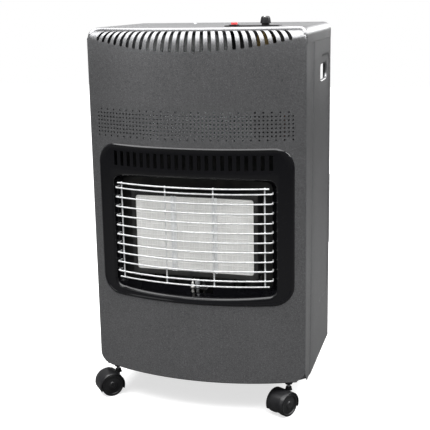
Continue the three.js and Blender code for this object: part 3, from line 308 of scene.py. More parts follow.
def add_shoulder(bm):
    """The slotted shoulder. Each slot has a round foot and a square top end."""
    slots, slot_half, end_columns = steps(-166, 166, 26), 3.0, 9
    half_pitch = (slots[1] - slots[0]) / 2
    columns = [(x, 0, False) for x in steps(-panel_half, slots[0] - half_pitch, end_columns)]
    for x in slots:
        columns += [(x, -slot_half, True), (x, slot_half, False), (x + half_pitch, 0, False)]
    columns += [(x, 0, False) for x in steps(slots[-1] + half_pitch, panel_half, end_columns)[1:]]
    round_foot = [(0.35, 5), (0.72, 5.4), (0.93, 6.4), (1, 8)]
    straight_from, last_open = round_foot[-1][1], math.radians(83.5)
    rows = []
    for width, lift in round_foot:
        rows.append([shoulder_point(x + side * width, rise_to(lift, shoulder_point(x, 0.05)[0]))
                     for x, side, _ in columns])
    foot = rows[-1]
    for part in steps(0, 1, 9)[1:]:
        row = []
        for (x, side, _), low in zip(columns, foot):
            first = rise_to(straight_from, low[0])
            row.append(shoulder_point(x + side, first + (last_open - first) * part))
        rows.append(row)
    rows.append([shoulder_point(x + side, math.pi / 2) for x, side, _ in columns])
    skirt = [[(x, bow(x), shoulder_seam) for x, _, _ in rows[0]],
             [(x, bow(x), min(shoulder_foot(x), z) - 0.5) for x, _, z in rows[0]]]
    rows = skirt + rows
    lay(bm, rows, (0, -1, 0.3),
        lambda i, j: not (columns[j][2] and len(skirt) <= i < len(rows) - 2))


def add_plain_sheet(bm):
    """The front below and above the band, with its two round lower corners and window."""
    straight, corner_rows = panel_half - panel_corner, 8
    columns = (steps(-panel_half, -straight, 6) + steps(-straight, -window_half, 3)[1:]
               + steps(-window_half, window_half, 80)[1:] + steps(window_half, straight, 3)[1:]
               + steps(straight, panel_half, 6)[1:])
    rows = []
    for turn in steps(math.pi / 2, 0, corner_rows):
        z = panel_foot + panel_corner * (1 - math.sin(turn))
        row = []
        for x in columns:
            over = max(abs(x) - straight, 0)
            x = math.copysign(min(abs(x), straight) + over * math.cos(turn), x)
            row.append((x, bow(x), z))
        rows.append(row)
    for z in (window_foot, window_top, band_foot):
        rows.append([(x, bow(x), z) for x in columns])
    lay(bm, rows, (0, -1, 0), lambda i, j: not (
        i == corner_rows + 1 and abs(columns[j] + columns[j + 1]) < 2 * window_half))
    lay(bm, [[(x, bow(x), z) for x in columns] for z in (band_top, shoulder_seam)], (0, -1, 0))


def add_punched_band(bm):
    """Rows of round holes. In the outer rows every second hole is left blind."""
    across, levels = 53, 8
    wide, tall = 7.2, (band_top - band_foot) / levels
    half = across * wide / 2
    for level in range(levels):
        for n in range(across):
            x0 = n * wide - half
            z0 = band_foot + level * tall
            x, z = x0 + wide / 2, z0 + tall / 2
            rim, hole = [], []
            for k in range(8):
                a = math.radians(45 * k)
                reach = 1 / max(abs(math.cos(a)), abs(math.sin(a)))
                px, pz = x + math.cos(a) * reach * wide / 2, z + math.sin(a) * reach * tall / 2
                rim.append((px, bow(px), pz))
                hx, hz = x + hole_r * math.cos(a), z + hole_r * math.sin(a)
                hole.append((hx, bow(hx), hz))
            made = lay(bm, [rim, hole], (0, -1, 0), closed=True)
            if level in (0, levels - 1) and (n + level) % 2:
                cap = bm.faces.new(made[1])
                cap.normal_update()
                if cap.normal.y > 0:
                    cap.normal_flip()
    for side in (-1, 1):
        edge = [(side * x, bow(x), 0) for x in steps(half, panel_half, 6)]
        lay(bm, [[(x, y, z) for x, y, _ in edge] for z in (band_foot, band_top)], (0, -1, 0))


bm = bmesh.new()
add_plain_sheet(bm)
add_punched_band(bm)
add_shoulder(bm)
front = make("front_panel_sheet", bm, graphite, thick=sheet_steel)
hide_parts("front_panel")


# ------------------------------------------------------------------ top cover
# A steel lid pressed in one piece: flat on top, rounded down both sides into a short
# skirt, and rolled under along its front edge. One small screw holds it.

skirt_foot, front_roll, rear_edge = 700.6, 6, 0.5

bm = bmesh.new()
left = [(-half_width + round_r * (1 - math.cos(a)), cover_top - round_r * (1 - math.sin(a)),
         -math.cos(a), math.sin(a)) for a in steps(0, math.pi / 2, 10)]
section = ([(-half_width, skirt_foot, -1, 0)] + left
           + [(x, cover_top, 0, 1) for x in steps(-flat_half, flat_half, 40)[1:-1]]
           + [(-x, z, -nx, nz) for x, z, nx, nz in reversed(left)]
           + [(half_width, skirt_foot, 1, 0)])
rows = []
for a in steps(0, math.pi / 2, 7):
    inward, back = front_roll * (1 - math.sin(a)), front_roll * (1 - math.cos(a))
    rows.append([(x - nx * inward, seam_y(x) + back, z - nz * inward)
                 for x, z, nx, nz in section])
rows += [[(x, y, z) for x, z, _, _ in section] for y in (90, 180, rear - 1.5)]
hem = [(x - nx * rear_edge, rear, z - nz * rear_edge) for x, z, nx, nz in section]
lay(bm, rows + [hem], (0, 0, 1))
lay(bm, [[(x, y, skirt_foot) for x, y, _ in hem], hem], (0, 1, 0))
cover = make("top_cover_sheet", bm, graphite, thick=sheet_steel)
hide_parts("top_cover")


# ------------------------------------------------------------------ side panels
# Two steel sides, folded in at the front and back. Each has a large pressed field
# to stiffen it and a hand-hold with a rolled lip near the top.


def rounded_loop(u0, u1, v0, v1, r, corner=8, long=12, tall=12):
    """The same number of points round any rounded rectangle, from its lower right."""
    points = []
    centres = ((u1 - r, v0 + r, -90), (u1 - r, v1 - r, 0), (u0 + r, v1 - r, 90),
               (u0 + r, v0 + r, 180))
    for n, (u, v, turn) in enumerate(centres):
        bend = [(u + r * math.cos(math.radians(a)), v + r * math.sin(math.radians(a)))
                for a in steps(turn, turn + 90, corner)]
        following = centres[(n + 1) % 4]
        a = math.radians(following[2])
        reach = (following[0] + r * math.cos(a), following[1] + r * math.sin(a))
        count = tall if n % 2 == 0 else long
        points += bend
        points += [(bend[-1][0] + (reach[0] - bend[-1][0]) * t,
                    bend[-1][1] + (reach[1] - bend[-1][1]) * t)
                   for t in steps(0, 1, count)[1:-1]]
    return points


side_foot, side_top = 59, 700.3
flat_front, flat_rear, flat_foot, flat_top = 92, 264, 60, 699.5
grip = (151, 227, 622, 652)
grip_r = 13
field = (142, 256, 169, 672)
field_r = 25
rear_fold, rear_flange = 3.5, 16
front_flange = 1.3
corner_cut, cut_until = 21, 20
joggle_foot, joggle_lean = 47, 29


def side_panel(name, side):
    """One side: the hand-hold and field, the edges above and below, back, and front."""
    bm = bmesh.new()
    loops = []
    for grow, x in ((0.4, 203.4), (0.1, 204.6), (0.4, 206.2), (1.2, 207.6), (2.6, 208.4),
                    (4.5, 208.5)):
        loops.append((x, grip[0] - grow, grip[1] + grow, grip[2] - grow, grip[3] + grow,
                      grip_r + grow))
    for inset, x in ((5.5, 208.5), (4, 208.62), (2.5, 209.2), (1, 209.8), (-0.5, 209.97),
                     (-2, half_width)):
        loops.append((x, field[0] + inset, field[1] - inset, field[2] + inset,
                      field[3] - inset, field_r - inset))
    loops.append((half_width, flat_front, flat_rear, flat_foot, flat_top, 1))
    lay(bm, [[(side * x, y, z) for y, z in rounded_loop(*loop)] for x, *loop in loops],
        (side, 0, 0), closed=True)
    for low, high in ((side_foot, flat_foot), (flat_top, side_top)):
        lay(bm, [[(side * half_width, y, z) for y in (flat_front, flat_rear)]
                 for z in (low, high)], (side, 0, 0))
    levels = steps(side_foot, side_top, 12)
    turned = [(half_width - rear_fold * (1 - math.cos(a)), rear - rear_fold * (1 - math.sin(a)))
              for a in steps(0, math.pi / 2, 6)]
    back = [(half_width, flat_rear), *turned, (half_width - rear_flange, rear)]
    lay(bm, [[(side * x, y, z) for x, y in back] for z in levels], (side, 1, 0))
    folds = []
    for z in levels:
        joggle = joggle_foot + joggle_lean * (z - side_foot) / (skirt_foot - side_foot)
        fold = []
        for x, y in ((195.7, front_flange), (206.2, front_flange), (207.6, 1.7), (208.4, 2.6),
                     (208.7, 4.2), (208.7, cut_until), (208.7, joggle - 3), (208.9, joggle - 1.8),
                     (209.8, joggle + 1.8), (half_width, joggle + 3), (half_width, flat_front)):
            cut = corner_cut * max(cut_until - y, 0) / (cut_until - front_flange)
            share = (z - side_foot) / (side_top - side_foot)
            fold.append((side * x, y, side_foot + cut + share * (side_top - side_foot - cut)))
        folds.append(fold)
    lay(bm, folds, (side, -1, 0))
    panel = make(f"side_{name}_sheet", bm, graphite, thick=sheet_steel)
    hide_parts(f"side_panel_{name}")


side_panel("left", -1)
side_panel("right", 1)


# ------------------------------------------------------------------ base tray
# The pressed tray that ties the sides together and carries the gas bottle. It has
# the same paint as the cabinet, thinner and duller where the bottle scrapes it.


def carry(node, material):
    """Give a piece that keeps its solid shape a better finish."""
    body = bpy.data.objects[node]
    body.data.materials.clear()
    body.data.materials.append(material)
    body.data.shade_smooth()
    body.data.set_sharp_from_angle(angle=math.radians(35))


def tray_paint(ground):
    grain = ground.noise(520, 3)
    scuff = ground.noise(60, 6, (1, 5, 1)).between(0.58, 0.72)
    base = grain.blend((0.05, 0.051, 0.053), (0.085, 0.086, 0.09))
    return {
        "Base Color": (scuff * 0.5).blend(base, (0.2, 0.2, 0.21)),
        "Roughness": scuff * 0.2 + grain * 0.15 + 0.38,
    }


carry("base_tray", finish("tray_paint", tray_paint, Metallic=0.2))


# ------------------------------------------------------------------ surround
# A deep frame pressed round the burner and enamelled gloss black: a raised rim, a
# flat face with a row of vents, and tapered walls down to the burner.


def gloss_enamel(ground):
    ripple = ground.noise(26, 2)
    dust = ground.noise(900, 1).between(0.68, 0.8)
    return {
        "Base Color": dust.blend((0.004, 0.004, 0.005), (0.02, 0.02, 0.022)),
        "Roughness": ripple * 0.1 + 0.06,
        "Normal": ripple.bump(0.5, 0.12),
    }


enamel = finish("gloss_enamel", gloss_enamel, Specular_IOR_Level=0.32)

rim_half, rim_foot, rim_top, rim_r = 190, 219, 517, 37
face_half, face_foot, face_proud = 164, 226.4, 1.8
strip_foot, vent_foot, vent_top, strip_top = 470, 476.3, 503.8, 506.5
mouth_front, mouth_back = -52, -5
mouth_half, mouth_foot, mouth_top, mouth_r = (172, 148), (233, 244), (460, 450), (17, 12)
mouth_middle_z = 350
pilot_left, pilot_right, pilot_under = -14, 32, 260


def outline(half, foot, top, r):
    return rounded_loop(-half, half, foot, top, r, 8, 40, 12)


def tapered(sizes, y):
    """A size of the mouth at depth y, from its sizes at the front and at the back."""
    return sizes[0] + (sizes[1] - sizes[0]) * (y - mouth_front) / (mouth_back - mouth_front)


def mouth_loop(y, grow=0.0):
    return outline(tapered(mouth_half, y) + grow, tapered(mouth_foot, y) - grow,
                   tapered(mouth_top, y) + grow, tapered(mouth_r, y) + grow)


def mouth_ring(grow, sink):
    """The mouth's outline where its taper meets the bowed face."""
    ring = []
    for n in range(len(mouth_loop(0))):
        y = -30
        for _ in range(8):
            x, z = mouth_loop(y, grow)[n]
            y = bow(x) - face_proud
        ring.append((x, y + sink, z))
    return ring


def face_loop(top):
    """The edge of the flat face: round corners at its foot, square ones by the vents."""
    rounded, square = [outline(face_half, face_foot, top, r) for r in (24, 0.5)]
    return [(x, bow(x) - face_proud, z) for x, z in (
        low if low[1] < mouth_middle_z else high for low, high in zip(rounded, square))]


bm = bmesh.new()
rows = []
for inset, proud in ((0, 0.25), (0.25, 0.8), (2.5, 2.7), (3.2, 2.97), (3.9, 2.97), (4.5, 2.75),
                     (5.6, 2.0), (6.4, face_proud)):
    rows.append([(x, bow(x) - proud, z) for x, z in outline(
        rim_half - inset, rim_foot + inset, rim_top - inset, rim_r - inset)])
rows.append(face_loop(strip_top))
lay(bm, rows, (0, -1, 0), closed=True)
lip = [mouth_ring(6, 0), mouth_ring(5, 0.35), mouth_ring(1.6, 3.3), mouth_ring(0.7, 4.4),
       mouth_ring(0.2, 5.8), mouth_ring(0, 7.5)]
walls = []
for t in (0.3, 0.65, 1):
    walls.append([(a[0] + (b[0] - a[0]) * t, a[1] + (mouth_back - a[1]) * t,
                   a[2] + (b[1] - a[2]) * t) for a, b in zip(lip[-1], mouth_loop(mouth_back))])
middle = at(0, -60, mouth_middle_z)
lay(bm, [face_loop(strip_foot), *lip, *walls],
    lambda p: Vector((0, -1, 0)) + (middle - p) * 4,
    keep=lambda i, j: i <= len(lip) or not (
        pilot_left < lip[-1][j][0] < pilot_right and lip[-1][j][2] < pilot_under), closed=True)
vent_half, vent_pitch = 3.4, 300 / 21
columns = [-face_half]
for n in steps(-10.5, 10.5, 21):
    columns += [n * vent_pitch - vent_half, n * vent_pitch + vent_half]
columns.append(face_half)
lay(bm, [[(x, bow(x) - face_proud, z) for x in columns]
         for z in (strip_foot, vent_foot, vent_top, strip_top)],
    (0, -1, 0), lambda i, j: not (i == 1 and j % 2 == 1))
frame_piece = make("burner_surround", bm, enamel, thick=1.6, angle=50)
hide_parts("surround")


# ------------------------------------------------------------------ wire guard
# Twelve level wires spot-welded on four uprights, in bright nickelled steel. The ten
# long wires turn back into the mouth and spring against its walls.


def add_wire(bm, points, r, sides=8):
    """A round wire swept along points, without twisting, closed at both ends."""
    path = [at(*p) for p in points]
    rings = []
    across = None
    for n, p in enumerate(path):
        ahead = path[min(n + 1, len(path) - 1)] - path[max(n - 1, 0)]
        ahead.normalize()
        if across is None:
            across = ahead.orthogonal().normalized()
        across = (across - ahead * across.dot(ahead)).normalized()
        over = ahead.cross(across)
        rings.append([bm.verts.new(p + (across * math.cos(a) + over * math.sin(a)) * r / 1000)
                      for a in steps(0, 2 * math.pi, sides)[:-1]])
    for low, high in zip(rings, rings[1:]):
        for j in range(sides):
            bm.faces.new((low[j], low[(j + 1) % sides], high[(j + 1) % sides], high[j]))
    bm.faces.new(list(reversed(rings[0])))
    bm.faces.new(rings[-1])


def bright_wire(ground):
    grime = ground.noise(180, 3)
    return {
        "Base Color": grime.between(0.3, 0.7).blend((0.66, 0.67, 0.68), (0.86, 0.87, 0.87)),
        "Roughness": grime * 0.2 + 0.32,
    }


nickel = finish("nickel_wire", bright_wire, Metallic=0.55)
wire_r, wire_proud, upright_proud, hook_end = 1.45, 3.95, 1.6, -13
end_wires, long_wires = (443, 258), steps(433, 269, 9)
turn_half = tapered(mouth_half, hook_end) - 3

bm = bmesh.new()
for z in (*end_wires, *long_wires):
    half = turn_half - 2 if z in end_wires else turn_half
    points = [(x, bow(x) - wire_proud, z) for x in steps(-half, half, 36)]
    if z in long_wires:
        y = bow(half) - wire_proud
        hook = [(half + 1.9, y + 1.2), (half + 2.9, y + 3.2), (half + 3.2, y + 6),
                (half + 2.4, (y + hook_end) / 2 + 2), (half + 1.2, hook_end)]
        points = ([(-hx, hy, z) for hx, hy in reversed(hook)] + points
                  + [(hx, hy, z) for hx, hy in hook])
    add_wire(bm, points, wire_r)
for x in (-138.8, -46.3, 46.3, 138.8):
    add_wire(bm, [(x, bow(x) - upright_proud, z) for z in (256, 350, 445)], wire_r)
guard = make("guard_wires", bm, nickel, weld=0.000001)
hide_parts("wire_guard")


# ------------------------------------------------------------------ burner
# Three ceramic plaques drilled with a fine grid of flame ports, clamped by a pressed
# frame against a blackened housing. Mixing tubes feed it from a brass rail.


def drilled_ceramic(ground):
    ports = ground.node("ShaderNodeTexVoronoi", {"feature": "F1", "voronoi_dimensions": "3D"}, {
        "Vector": ground.place(1, 0.02, 1), "Scale": 420.0, "Randomness": 0.15})
    port = 1 - ports.between(0.18, 0.34)
    cell = ground.node("ShaderNodeTexVoronoi", {"feature": "DISTANCE_TO_EDGE"}, {
        "Vector": ground.place(1, 0.02, 1), "Scale": 95.0, "Randomness": 0.0})
    ridge = 1 - cell.between(0.02, 0.12)
    stain = ground.noise(30, 4)
    base = stain.between(0.3, 0.7).blend((0.72, 0.72, 0.7), (0.86, 0.86, 0.84))
    lined = (ridge * 0.35).blend(base, (0.9, 0.9, 0.88))
    return {
        # The flame ports are painted dark grey: painted shade in the holes.
        "Base Color": (port * 0.5).blend(lined, (0.3, 0.29, 0.28)),
        "Normal": (ridge * 1.5 - port).bump(0.5, 0.4),
    }


def dark_steel(ground):
    heat = ground.noise(40, 4)
    return {
        "Base Color": heat.between(0.3, 0.7).blend((0.012, 0.013, 0.013), (0.035, 0.034, 0.032)),
        "Roughness": heat * 0.25 + 0.5,
    }


def pressed_steel(ground):
    brushed = ground.noise(60, 4, (1, 1, 22))
    return {
        "Base Color": brushed.between(0.3, 0.7).blend((0.5, 0.51, 0.53), (0.74, 0.75, 0.76)),
        "Roughness": brushed * 0.25 + 0.16,
        "Normal": ground.noise(35, 2).bump(0.4, 0.15),
    }


def stucco_reflector(ground):
    dimple = ground.noise(330, 1)
    return {
        "Base Color": dimple.between(0.3, 0.7).blend((0.84, 0.86, 0.86), (0.95, 0.97, 0.97)),
        "Roughness": dimple * 0.2 + 0.28,
        "Normal": dimple.bump(1.4, 1),
    }


def zinc_spangle(ground):
    flake = ground.node("ShaderNodeTexVoronoi", {"feature": "F1"}, {
        "Vector": ground.place(1, 1, 1), "Scale": 110.0})
    cloud = ground.noise(18, 3)
    return {
        "Base Color": flake.between(0.1, 0.8).blend((0.34, 0.35, 0.36), (0.5, 0.51, 0.52)),
        "Roughness": flake * 0.15 + cloud * 0.2 + 0.25,
    }


def turned_brass(ground):
    tarnish = ground.noise(70, 4)
    return {
        "Base Color": tarnish.between(0.3, 0.75).blend((0.36, 0.25, 0.1), (0.66, 0.5, 0.24)),
        "Roughness": tarnish * 0.3 + 0.15,
    }


def drawn_copper(ground):
    tarnish = ground.noise(55, 4)
    return {
        "Base Color": tarnish.between(0.3, 0.75).blend((0.28, 0.12, 0.06), (0.62, 0.32, 0.2)),
        "Roughness": tarnish * 0.3 + 0.18,
    }


ceramic = finish("drilled_ceramic", drilled_ceramic, Roughness=0.85)
bright = finish("pressed_steel", pressed_steel, Metallic=0.9)
zinc = finish("zinc_spangle", zinc_spangle, Metallic=0.85)
brass = finish("turned_brass", turned_brass, Metallic=1.0)
copper = finish("drawn_copper", drawn_copper, Metallic=1.0)
dark_metal = finish("dark_steel", dark_steel, Metallic=0.4)
for place in ("left", "middle", "right"):
    carry(f"plaque_{place}", ceramic)
    carry(f"mixing_tube_{place}", dark_metal)
carry("heat_deflector", finish("stucco_reflector", stucco_reflector, Metallic=0.15))
for node in ("heat_shield", "gate_hinge_pin"):
    carry(node, zinc)
for node in ("burner_housing", "bulkhead"):
    carry(node, dark_metal)
for node in ("gas_rail", "valve_body", "valve_stem", "valve_plunger", "inlet_pipe"):
    carry(node, brass)
for node in ("main_gas_pipe", "pilot_gas_pipe"):
    carry(node, copper)

# The frame round the plaques: its rim is coloured dark and the two dividers bright.
bm = bmesh.new()
frame_face = -19.5
rows = []
for half, foot, top, r, sink in ((123.5, 264.5, 428.5, 1.5, 16), (123.5, 264.5, 428.5, 1.5, 1),
                                 (122.8, 265.2, 427.8, 1.5, 0), (116.2, 273, 420, 6, 0),
                                 (115, 274.2, 418.8, 5, 0.8)):
    rows.append([(x, frame_face + sink, z)
                 for x, z in rounded_loop(-half, half, foot, top, r, 6)])
middle = at(0, 40, 346)
lay(bm, rows, lambda p: Vector((0, -1, 0)) + (p - middle) * 4, closed=True)
rim = make("frame_rim", bm, dark_metal, thick=0.8, angle=50)
bm = bmesh.new()
ridges = [(-5.3, 1.0), (-5.1, 0.3), (-4.4, 0), (-1.6, 0), (-1.0, 0.7), (1.0, 0.7), (1.6, 0),
          (4.4, 0), (5.1, 0.3), (5.3, 1.0)]
for seam_x in (-40, 40):
    lay(bm, [[(seam_x + x, frame_face + sink, z) for x, sink in ridges]
             for z in steps(273.5, 419.5, 6)], (0, -1, 0))
dividers = make("frame_dividers", bm, finish("divider_steel", bright_wire, Metallic=0.1),
                thick=0.2, angle=30)
for piece in (rim, dividers):
    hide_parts("burner_frame")


# ------------------------------------------------------------------ pilot
# The bright pilot burner, the spark electrode in its white insulator, and the
# blackened bracket that holds them and the thermocouple under the middle plaque.


def glazed_white(ground):
    speck = ground.noise(300, 2).between(0.6, 0.75)
    return {
        "Base Color": speck.blend((0.78, 0.77, 0.74), (0.5, 0.48, 0.45)),
        "Roughness": speck * 0.3 + 0.15,
    }


carry("pilot_bracket", dark_metal)
carry("pilot_burner", bright)
carry("thermocouple", dark_metal)
carry("spark_electrode", finish("glazed_insulator", glazed_white))


# ------------------------------------------------------------------ controls
# On the right of the top: a dark plate with a collar for the gas knob, the knob on
# the valve's stem, and the red button of the igniter in its black barrel.


def moulded_black(ground):
    grain = ground.noise(1100, 2)
    wear = ground.noise(40, 3)
    return {
        "Base Color": wear.between(0.3, 0.7).blend((0.006, 0.006, 0.007), (0.016, 0.016, 0.017)),
        "Roughness": grain * 0.18 + 0.22,
        "Normal": grain.bump(0.04, 0.3),
    }


def red_cap(ground):
    grain = ground.noise(700, 2)
    return {
        "Base Color": grain.blend((0.5, 0.04, 0.045), (0.62, 0.07, 0.07)),
        "Roughness": grain * 0.15 + 0.22,
    }


black = finish("moulded_black", moulded_black, Specular_IOR_Level=0.35)
red = finish("red_cap", red_cap, Coat_Weight=0.3)


def turn_profile(bm, profile, x, y, sides=48, flute=0.0):
    """Turn (radius, height, share of the flutes) about an upright line at x, y."""
    rows = []
    for r, z, fluted in profile:
        row = []
        for n in range(sides):
            a = 2 * math.pi * n / sides
            reach = r - (flute * fluted if n % 2 else 0)
            row.append((x + reach * math.cos(a), y + reach * math.sin(a), z))
        rows.append(row)
    centre = at(x, y, 0)
    return lay(bm, rows, lambda p: Vector((p.x - centre.x, p.y - centre.y, 0)), closed=True)


knob_x, knob_y = 131.5, 17
bm = bmesh.new()
made = turn_profile(bm, [(3.3, 745.4, 0), (3.3, 739.1, 0), (7.8, 739.1, 0), (7.8, 736.1, 0),
                         (8.9, 736.1, 0), (9.4, 736.5, 0), (9.5, 737.4, 1), (9.2, 740.6, 1),
                         (8.6, 743.6, 1), (8.1, 746, 1), (7.5, 747.5, 0.4), (6.3, 748.5, 0),
                         (4.6, 748.95, 0), (0.8, 749, 0)], knob_x, knob_y, 72, 0.35)
bm.faces.new(made[-1])
knob = make("fluted_knob", bm, black, body="control_knob", angle=55)
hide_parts("control_knob")
bm = bmesh.new()
lay(bm, [[(knob_x - w, knob_y - forward, z) for w in (0.7, 0.25, -0.25, -0.7)]
         for forward, z in ((1.5, 748.99), (4.5, 749), (6.0, 748.7), (7.0, 748.05))], (0, 0, 1))
pointer = make("knob_pointer", bm, finish("white_mark", glazed_white), body="control_knob",
               thick=0.3)
for node in ("control_plate", "igniter_body", "ignition_lead"):
    carry(node, black)
button_x, button_y = 73.5, 17
bm = bmesh.new()
made = turn_profile(bm, [(5.9, 714, 0), (5.9, 736.6, 0), (5.75, 737.6, 0), (5.2, 738.4, 0),
                         (4.3, 738.8, 0), (2.5, 738.6, 0), (0.5, 738.5, 0)], button_x, button_y)
bm.faces.new(made[-1])
bm.faces.new(list(reversed(made[0])))
button = make("igniter_cap", bm, red, body="igniter_button", angle=60)
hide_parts("igniter_button")


# ------------------------------------------------------------------ bottle gate
# A channel of black-painted steel across the open back. It swings on a pin at the
# right-hand side and keeps the bottle in.

gate_left, gate_right, gate_low, gate_high, gate_rear = -206.9, 207.8, 263, 413, 284.97
pin_x, pin_y, boss_r, bend_r = 201, 276.5, 5.4, 3
ear_thick, ear_gap = 3, 0.3


def gate_front(x):
    """Where the gate's flanges end in front: straight, then round about the pin."""
    over = min(max(x - pin_x, 0), boss_r)
    return pin_y - math.sqrt(boss_r ** 2 - over ** 2)


bm = bmesh.new()
bend = [(gate_rear - bend_r * (1 - math.sin(a)), bend_r * (1 - math.cos(a)))
        for a in steps(0, math.pi / 2, 6)]
rows = []
for x in (*steps(gate_left, pin_x, 24), 203, 205, 206, 206.4, 207.2, gate_right):
    low = [(x, y, gate_low + lift) for y, lift in bend]
    high = [(x, y, gate_low + gate_high - z) for x, y, z in reversed(low)]
    rows.append([(x, gate_front(x), gate_low), *low, *high, (x, gate_front(x), gate_high)])
lay(bm, rows, lambda p: p - at(0, 274, 338))
for x, end_front in ((gate_left, gate_front(0)), (gate_right, pin_y)):
    lay(bm, [[(x, y, z) for y in (end_front, gate_rear - bend_r)]
             for z in (gate_low, gate_high)], (x, 0, 0))
gate = make("gate_channel", bm, finish("gate_paint", gloss_enamel, Coat_Weight=0.2),
            body="bottle_gate", thick=1.1)
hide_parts("bottle_gate")

# Two ears on the right side panel's rear flange hold the gate's pin, one under the
# gate and one over it.

bm = bmesh.new()
for top in (gate_low - ear_gap, gate_high + ear_gap + ear_thick):
    ear = [[(pin_x - boss_r, rear - 1, top), (pin_x + boss_r, rear - 1, top)]]
    for a in steps(0, math.pi * 0.49, 10):
        y, half = pin_y + boss_r * math.sin(a), boss_r * math.cos(a)
        ear.append([(pin_x - half, y, top), (pin_x + half, y, top)])
    lay(bm, ear, (0, 0, 1))
ears = make("gate_ears", bm, graphite, thick=ear_thick)
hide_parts("side_panel_right")


# ------------------------------------------------------------------ casters
# Four twin-wheel casters in black nylon: a hood with a middle web over two wheels on
# one axle, swivelling on a plated stem in a socket under the tray.

caster_places = {
    "front_left": (-176, 5, -139), "front_right": (176, 5, -119),
    "rear_left": (-140, 208, 62), "rear_right": (140, 208, 100),
}
trail, hood_z, hood_r, web_r, wheel_z = 18.5, 22.17, 25.6, 24, 22.59


def about(stem_x, stem_y, heading, side, back, z):
    """A point of a caster, from its stem: side along the axle, back along the trail."""
    a = math.radians(heading)
    return (stem_x + back * math.cos(a) - side * math.sin(a),
            stem_y + back * math.sin(a) + side * math.cos(a), z)


for corner, (stem_x, stem_y, heading) in caster_places.items():
    hub = at(*about(stem_x, stem_y, heading, 0, trail, hood_z))
    bm = bmesh.new()
    rows = []
    for side, shrink in ((-20, 1.4), (-19.7, 0.5), (-19, 0), (-10, 0), (0, 0), (10, 0), (19, 0),
                         (19.7, 0.5), (20, 1.4)):
        reach = hood_r - shrink
        rows.append([about(stem_x, stem_y, heading, side, trail + reach * math.cos(a),
                           hood_z + reach * math.sin(a))
                     for a in steps(math.radians(-21), math.radians(201), 30)])
    lay(bm, rows, lambda p: p - hub)
    hood = make(f"hood_{corner}", bm, black, body=f"caster_{corner}", thick=2.2, edge=0.4)
    bm = bmesh.new()
    web = [(trail + web_r * math.cos(a), hood_z + web_r * math.sin(a))
           for a in steps(math.radians(-22), math.radians(202), 24)]
    near, far = [[bm.verts.new(at(*about(stem_x, stem_y, heading, side, back, z)))
                  for back, z in web] for side in (-4, 4)]
    bm.faces.new(near)
    bm.faces.new(list(reversed(far)))
    for n in range(len(web)):
        k = (n + 1) % len(web)
        bm.faces.new((near[k], near[n], far[n], far[k]))
    turn_profile(bm, [(7.2, 43, 0), (6.3, 45, 0), (5.7, 47.5, 0), (5.6, 49, 0), (5, 49.5, 0),
                      (3.4, 49.5, 0)], stem_x, stem_y, 28)
    web_piece = make(f"web_{corner}", bm, black, body=f"caster_{corner}", edge=0.5)
    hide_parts(f"caster_hood_{corner}")
    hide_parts(f"caster_hood_{corner}")
    for name, way in (("outer", -1), ("inner", 1)):
        bm = bmesh.new()
        rows = []
        for r, side in ((2.8, 7), (21.8, 7), (22.4, 7.5), (22.55, 9), (22.55, 17), (22.1, 18.4),
                        (21.2, 19), (19.6, 19), (18.8, 18.6), (18.2, 17), (17.6, 16.5), (8.4, 17),
                        (7.6, 17.5), (7, 18.8), (6.2, 19.2), (2.8, 19.2)):
            rows.append([about(stem_x, stem_y, heading, way * side, trail + r * math.cos(a),
                               wheel_z + r * math.sin(a))
                         for a in steps(0, 2 * math.pi, 48)[:-1]])
        rows.append(rows[0])
        middle = at(*about(stem_x, stem_y, heading, way * 13, trail, wheel_z))
        lay(bm, rows, lambda p: p - middle, closed=True)
        wheel = make(f"wheel_{name}_{corner}", bm, black, body=f"wheels_{corner}", angle=40)
        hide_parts(f"caster_wheel_{name}_{corner}")
    carry(f"caster_stem_{corner}", zinc)
    carry(f"caster_axle_{corner}", black)
    carry(f"caster_socket_{corner}", black)


# ------------------------------------------------------------------ cover screw
# The one pan-head screw on the top, with a round recess in its head. It has no solid
# of its own.

screw_x, screw_y = -62.7, 214
bm = bmesh.new()
made = turn_profile(bm, [(3.4, 731.1, 0), (3.3, 731.8, 0), (2.7, 732.5, 0), (1.6, 732.9, 0),
                         (1.2, 732.6, 0), (0.5, 732.0, 0)], screw_x, screw_y, 24)
bm.faces.new(made[-1])
screw = make("cover_screw", bm, bright, angle=50)


# ------------------------------------------------------------------ studio
# A pale floor that runs off into white and keeps the heater's shadow. A broad soft lamp
# overhead lights the top and the shoulder. Weaker ones stand high in front and at the
# right, low at the front left, and behind.

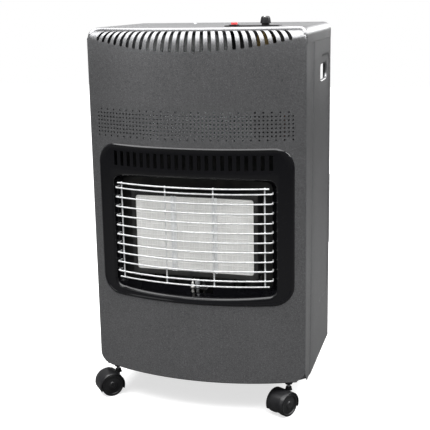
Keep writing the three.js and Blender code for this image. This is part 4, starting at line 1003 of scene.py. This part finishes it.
floor_half = 6
floor_corners = [(floor_half * x, floor_half * y, 0)
                 for x, y in ((-1, -1), (1, -1), (1, 1), (-1, 1))]
floor_mesh = bpy.data.meshes.new("floor")
floor_mesh.from_pydata(floor_corners, [], [(0, 1, 2, 3)])
floor = bpy.data.objects.new("floor", floor_mesh)
bpy.context.collection.objects.link(floor)
floor_paint = bpy.data.materials.new("studio_floor")
floor_paint.use_nodes = True
ground = Field(floor_paint.node_tree)
seen = ground.node("ShaderNodeLightPath", output="Is Camera Ray")
dim = ground.node("ShaderNodeBsdfDiffuse", {}, {"Color": (0.1, 0.1, 0.1, 1)})
pale = ground.node("ShaderNodeBsdfDiffuse", {}, {"Color": (0.9, 0.9, 0.9, 1)})
glow = ground.node("ShaderNodeEmission", {}, {"Color": (1, 1, 1, 1), "Strength": 1.7})
distance = ground.node("ShaderNodeVectorMath", {"operation": "LENGTH"},
                       {0: ground.place(1, 1, 1)}, output=1)
white = ground.node("ShaderNodeMixShader", {}, {
    0: distance.between(0.45, 1.3) * 0.6 + 0.4, 1: pale, 2: glow})
mixed = ground.node("ShaderNodeMixShader", {}, {0: seen, 1: dim, 2: white})
floor_output = floor_paint.node_tree.nodes["Material Output"]
floor_paint.node_tree.links.new(mixed.link, floor_output.inputs["Surface"])
floor_mesh.materials.append(floor_paint)

world = bpy.data.worlds.new("studio")
world.use_nodes = True
bpy.context.scene.world = world
sky = Field(world.node_tree)
seen = sky.node("ShaderNodeLightPath", output="Is Camera Ray")
background = world.node_tree.nodes["Background"]
background.inputs["Color"].default_value = (1, 1, 1, 1)
world.node_tree.links.new((seen * 0.75 + 0.25).link, background.inputs["Strength"])


def lamp(name, place, target, size, power):
    """A soft rectangular lamp at place that faces target, in metres and watts."""
    light = bpy.data.lights.new(name, "AREA")
    light.shape = "RECTANGLE"
    light.size, light.size_y = size
    light.energy = power
    lit = bpy.data.objects.new(name, light)
    lit.location = place
    lit.rotation_euler = (Vector(target) - Vector(place)).to_track_quat("-Z", "Y").to_euler()
    bpy.context.collection.objects.link(lit)


lamp("overhead", (-0.1, -0.3, 2.3), (-0.1, -0.3, 0), (3.8, 2.6), 225)
lamp("front_high", (0.1, -1.9, 2.5), (0, 0, 0.7), (2.4, 0.8), 22)
lamp("behind", (-0.5, 2.9, 1.75), (0, 0, 0.7), (3.4, 1.3), 6)
lamp("behind_right", (1.0, 3.2, 1.3), (0.2, 0, 0.7), (1.4, 0.8), 16)
lamp("right_high", (2.5, 0.8, 2.1), (0.2, 0, 0.75), (1.0, 1.0), 60)
lamp("front_left", (-1.9, -2.2, 1.6), (0, 0, 0.4), (1.2, 1.8), 8)
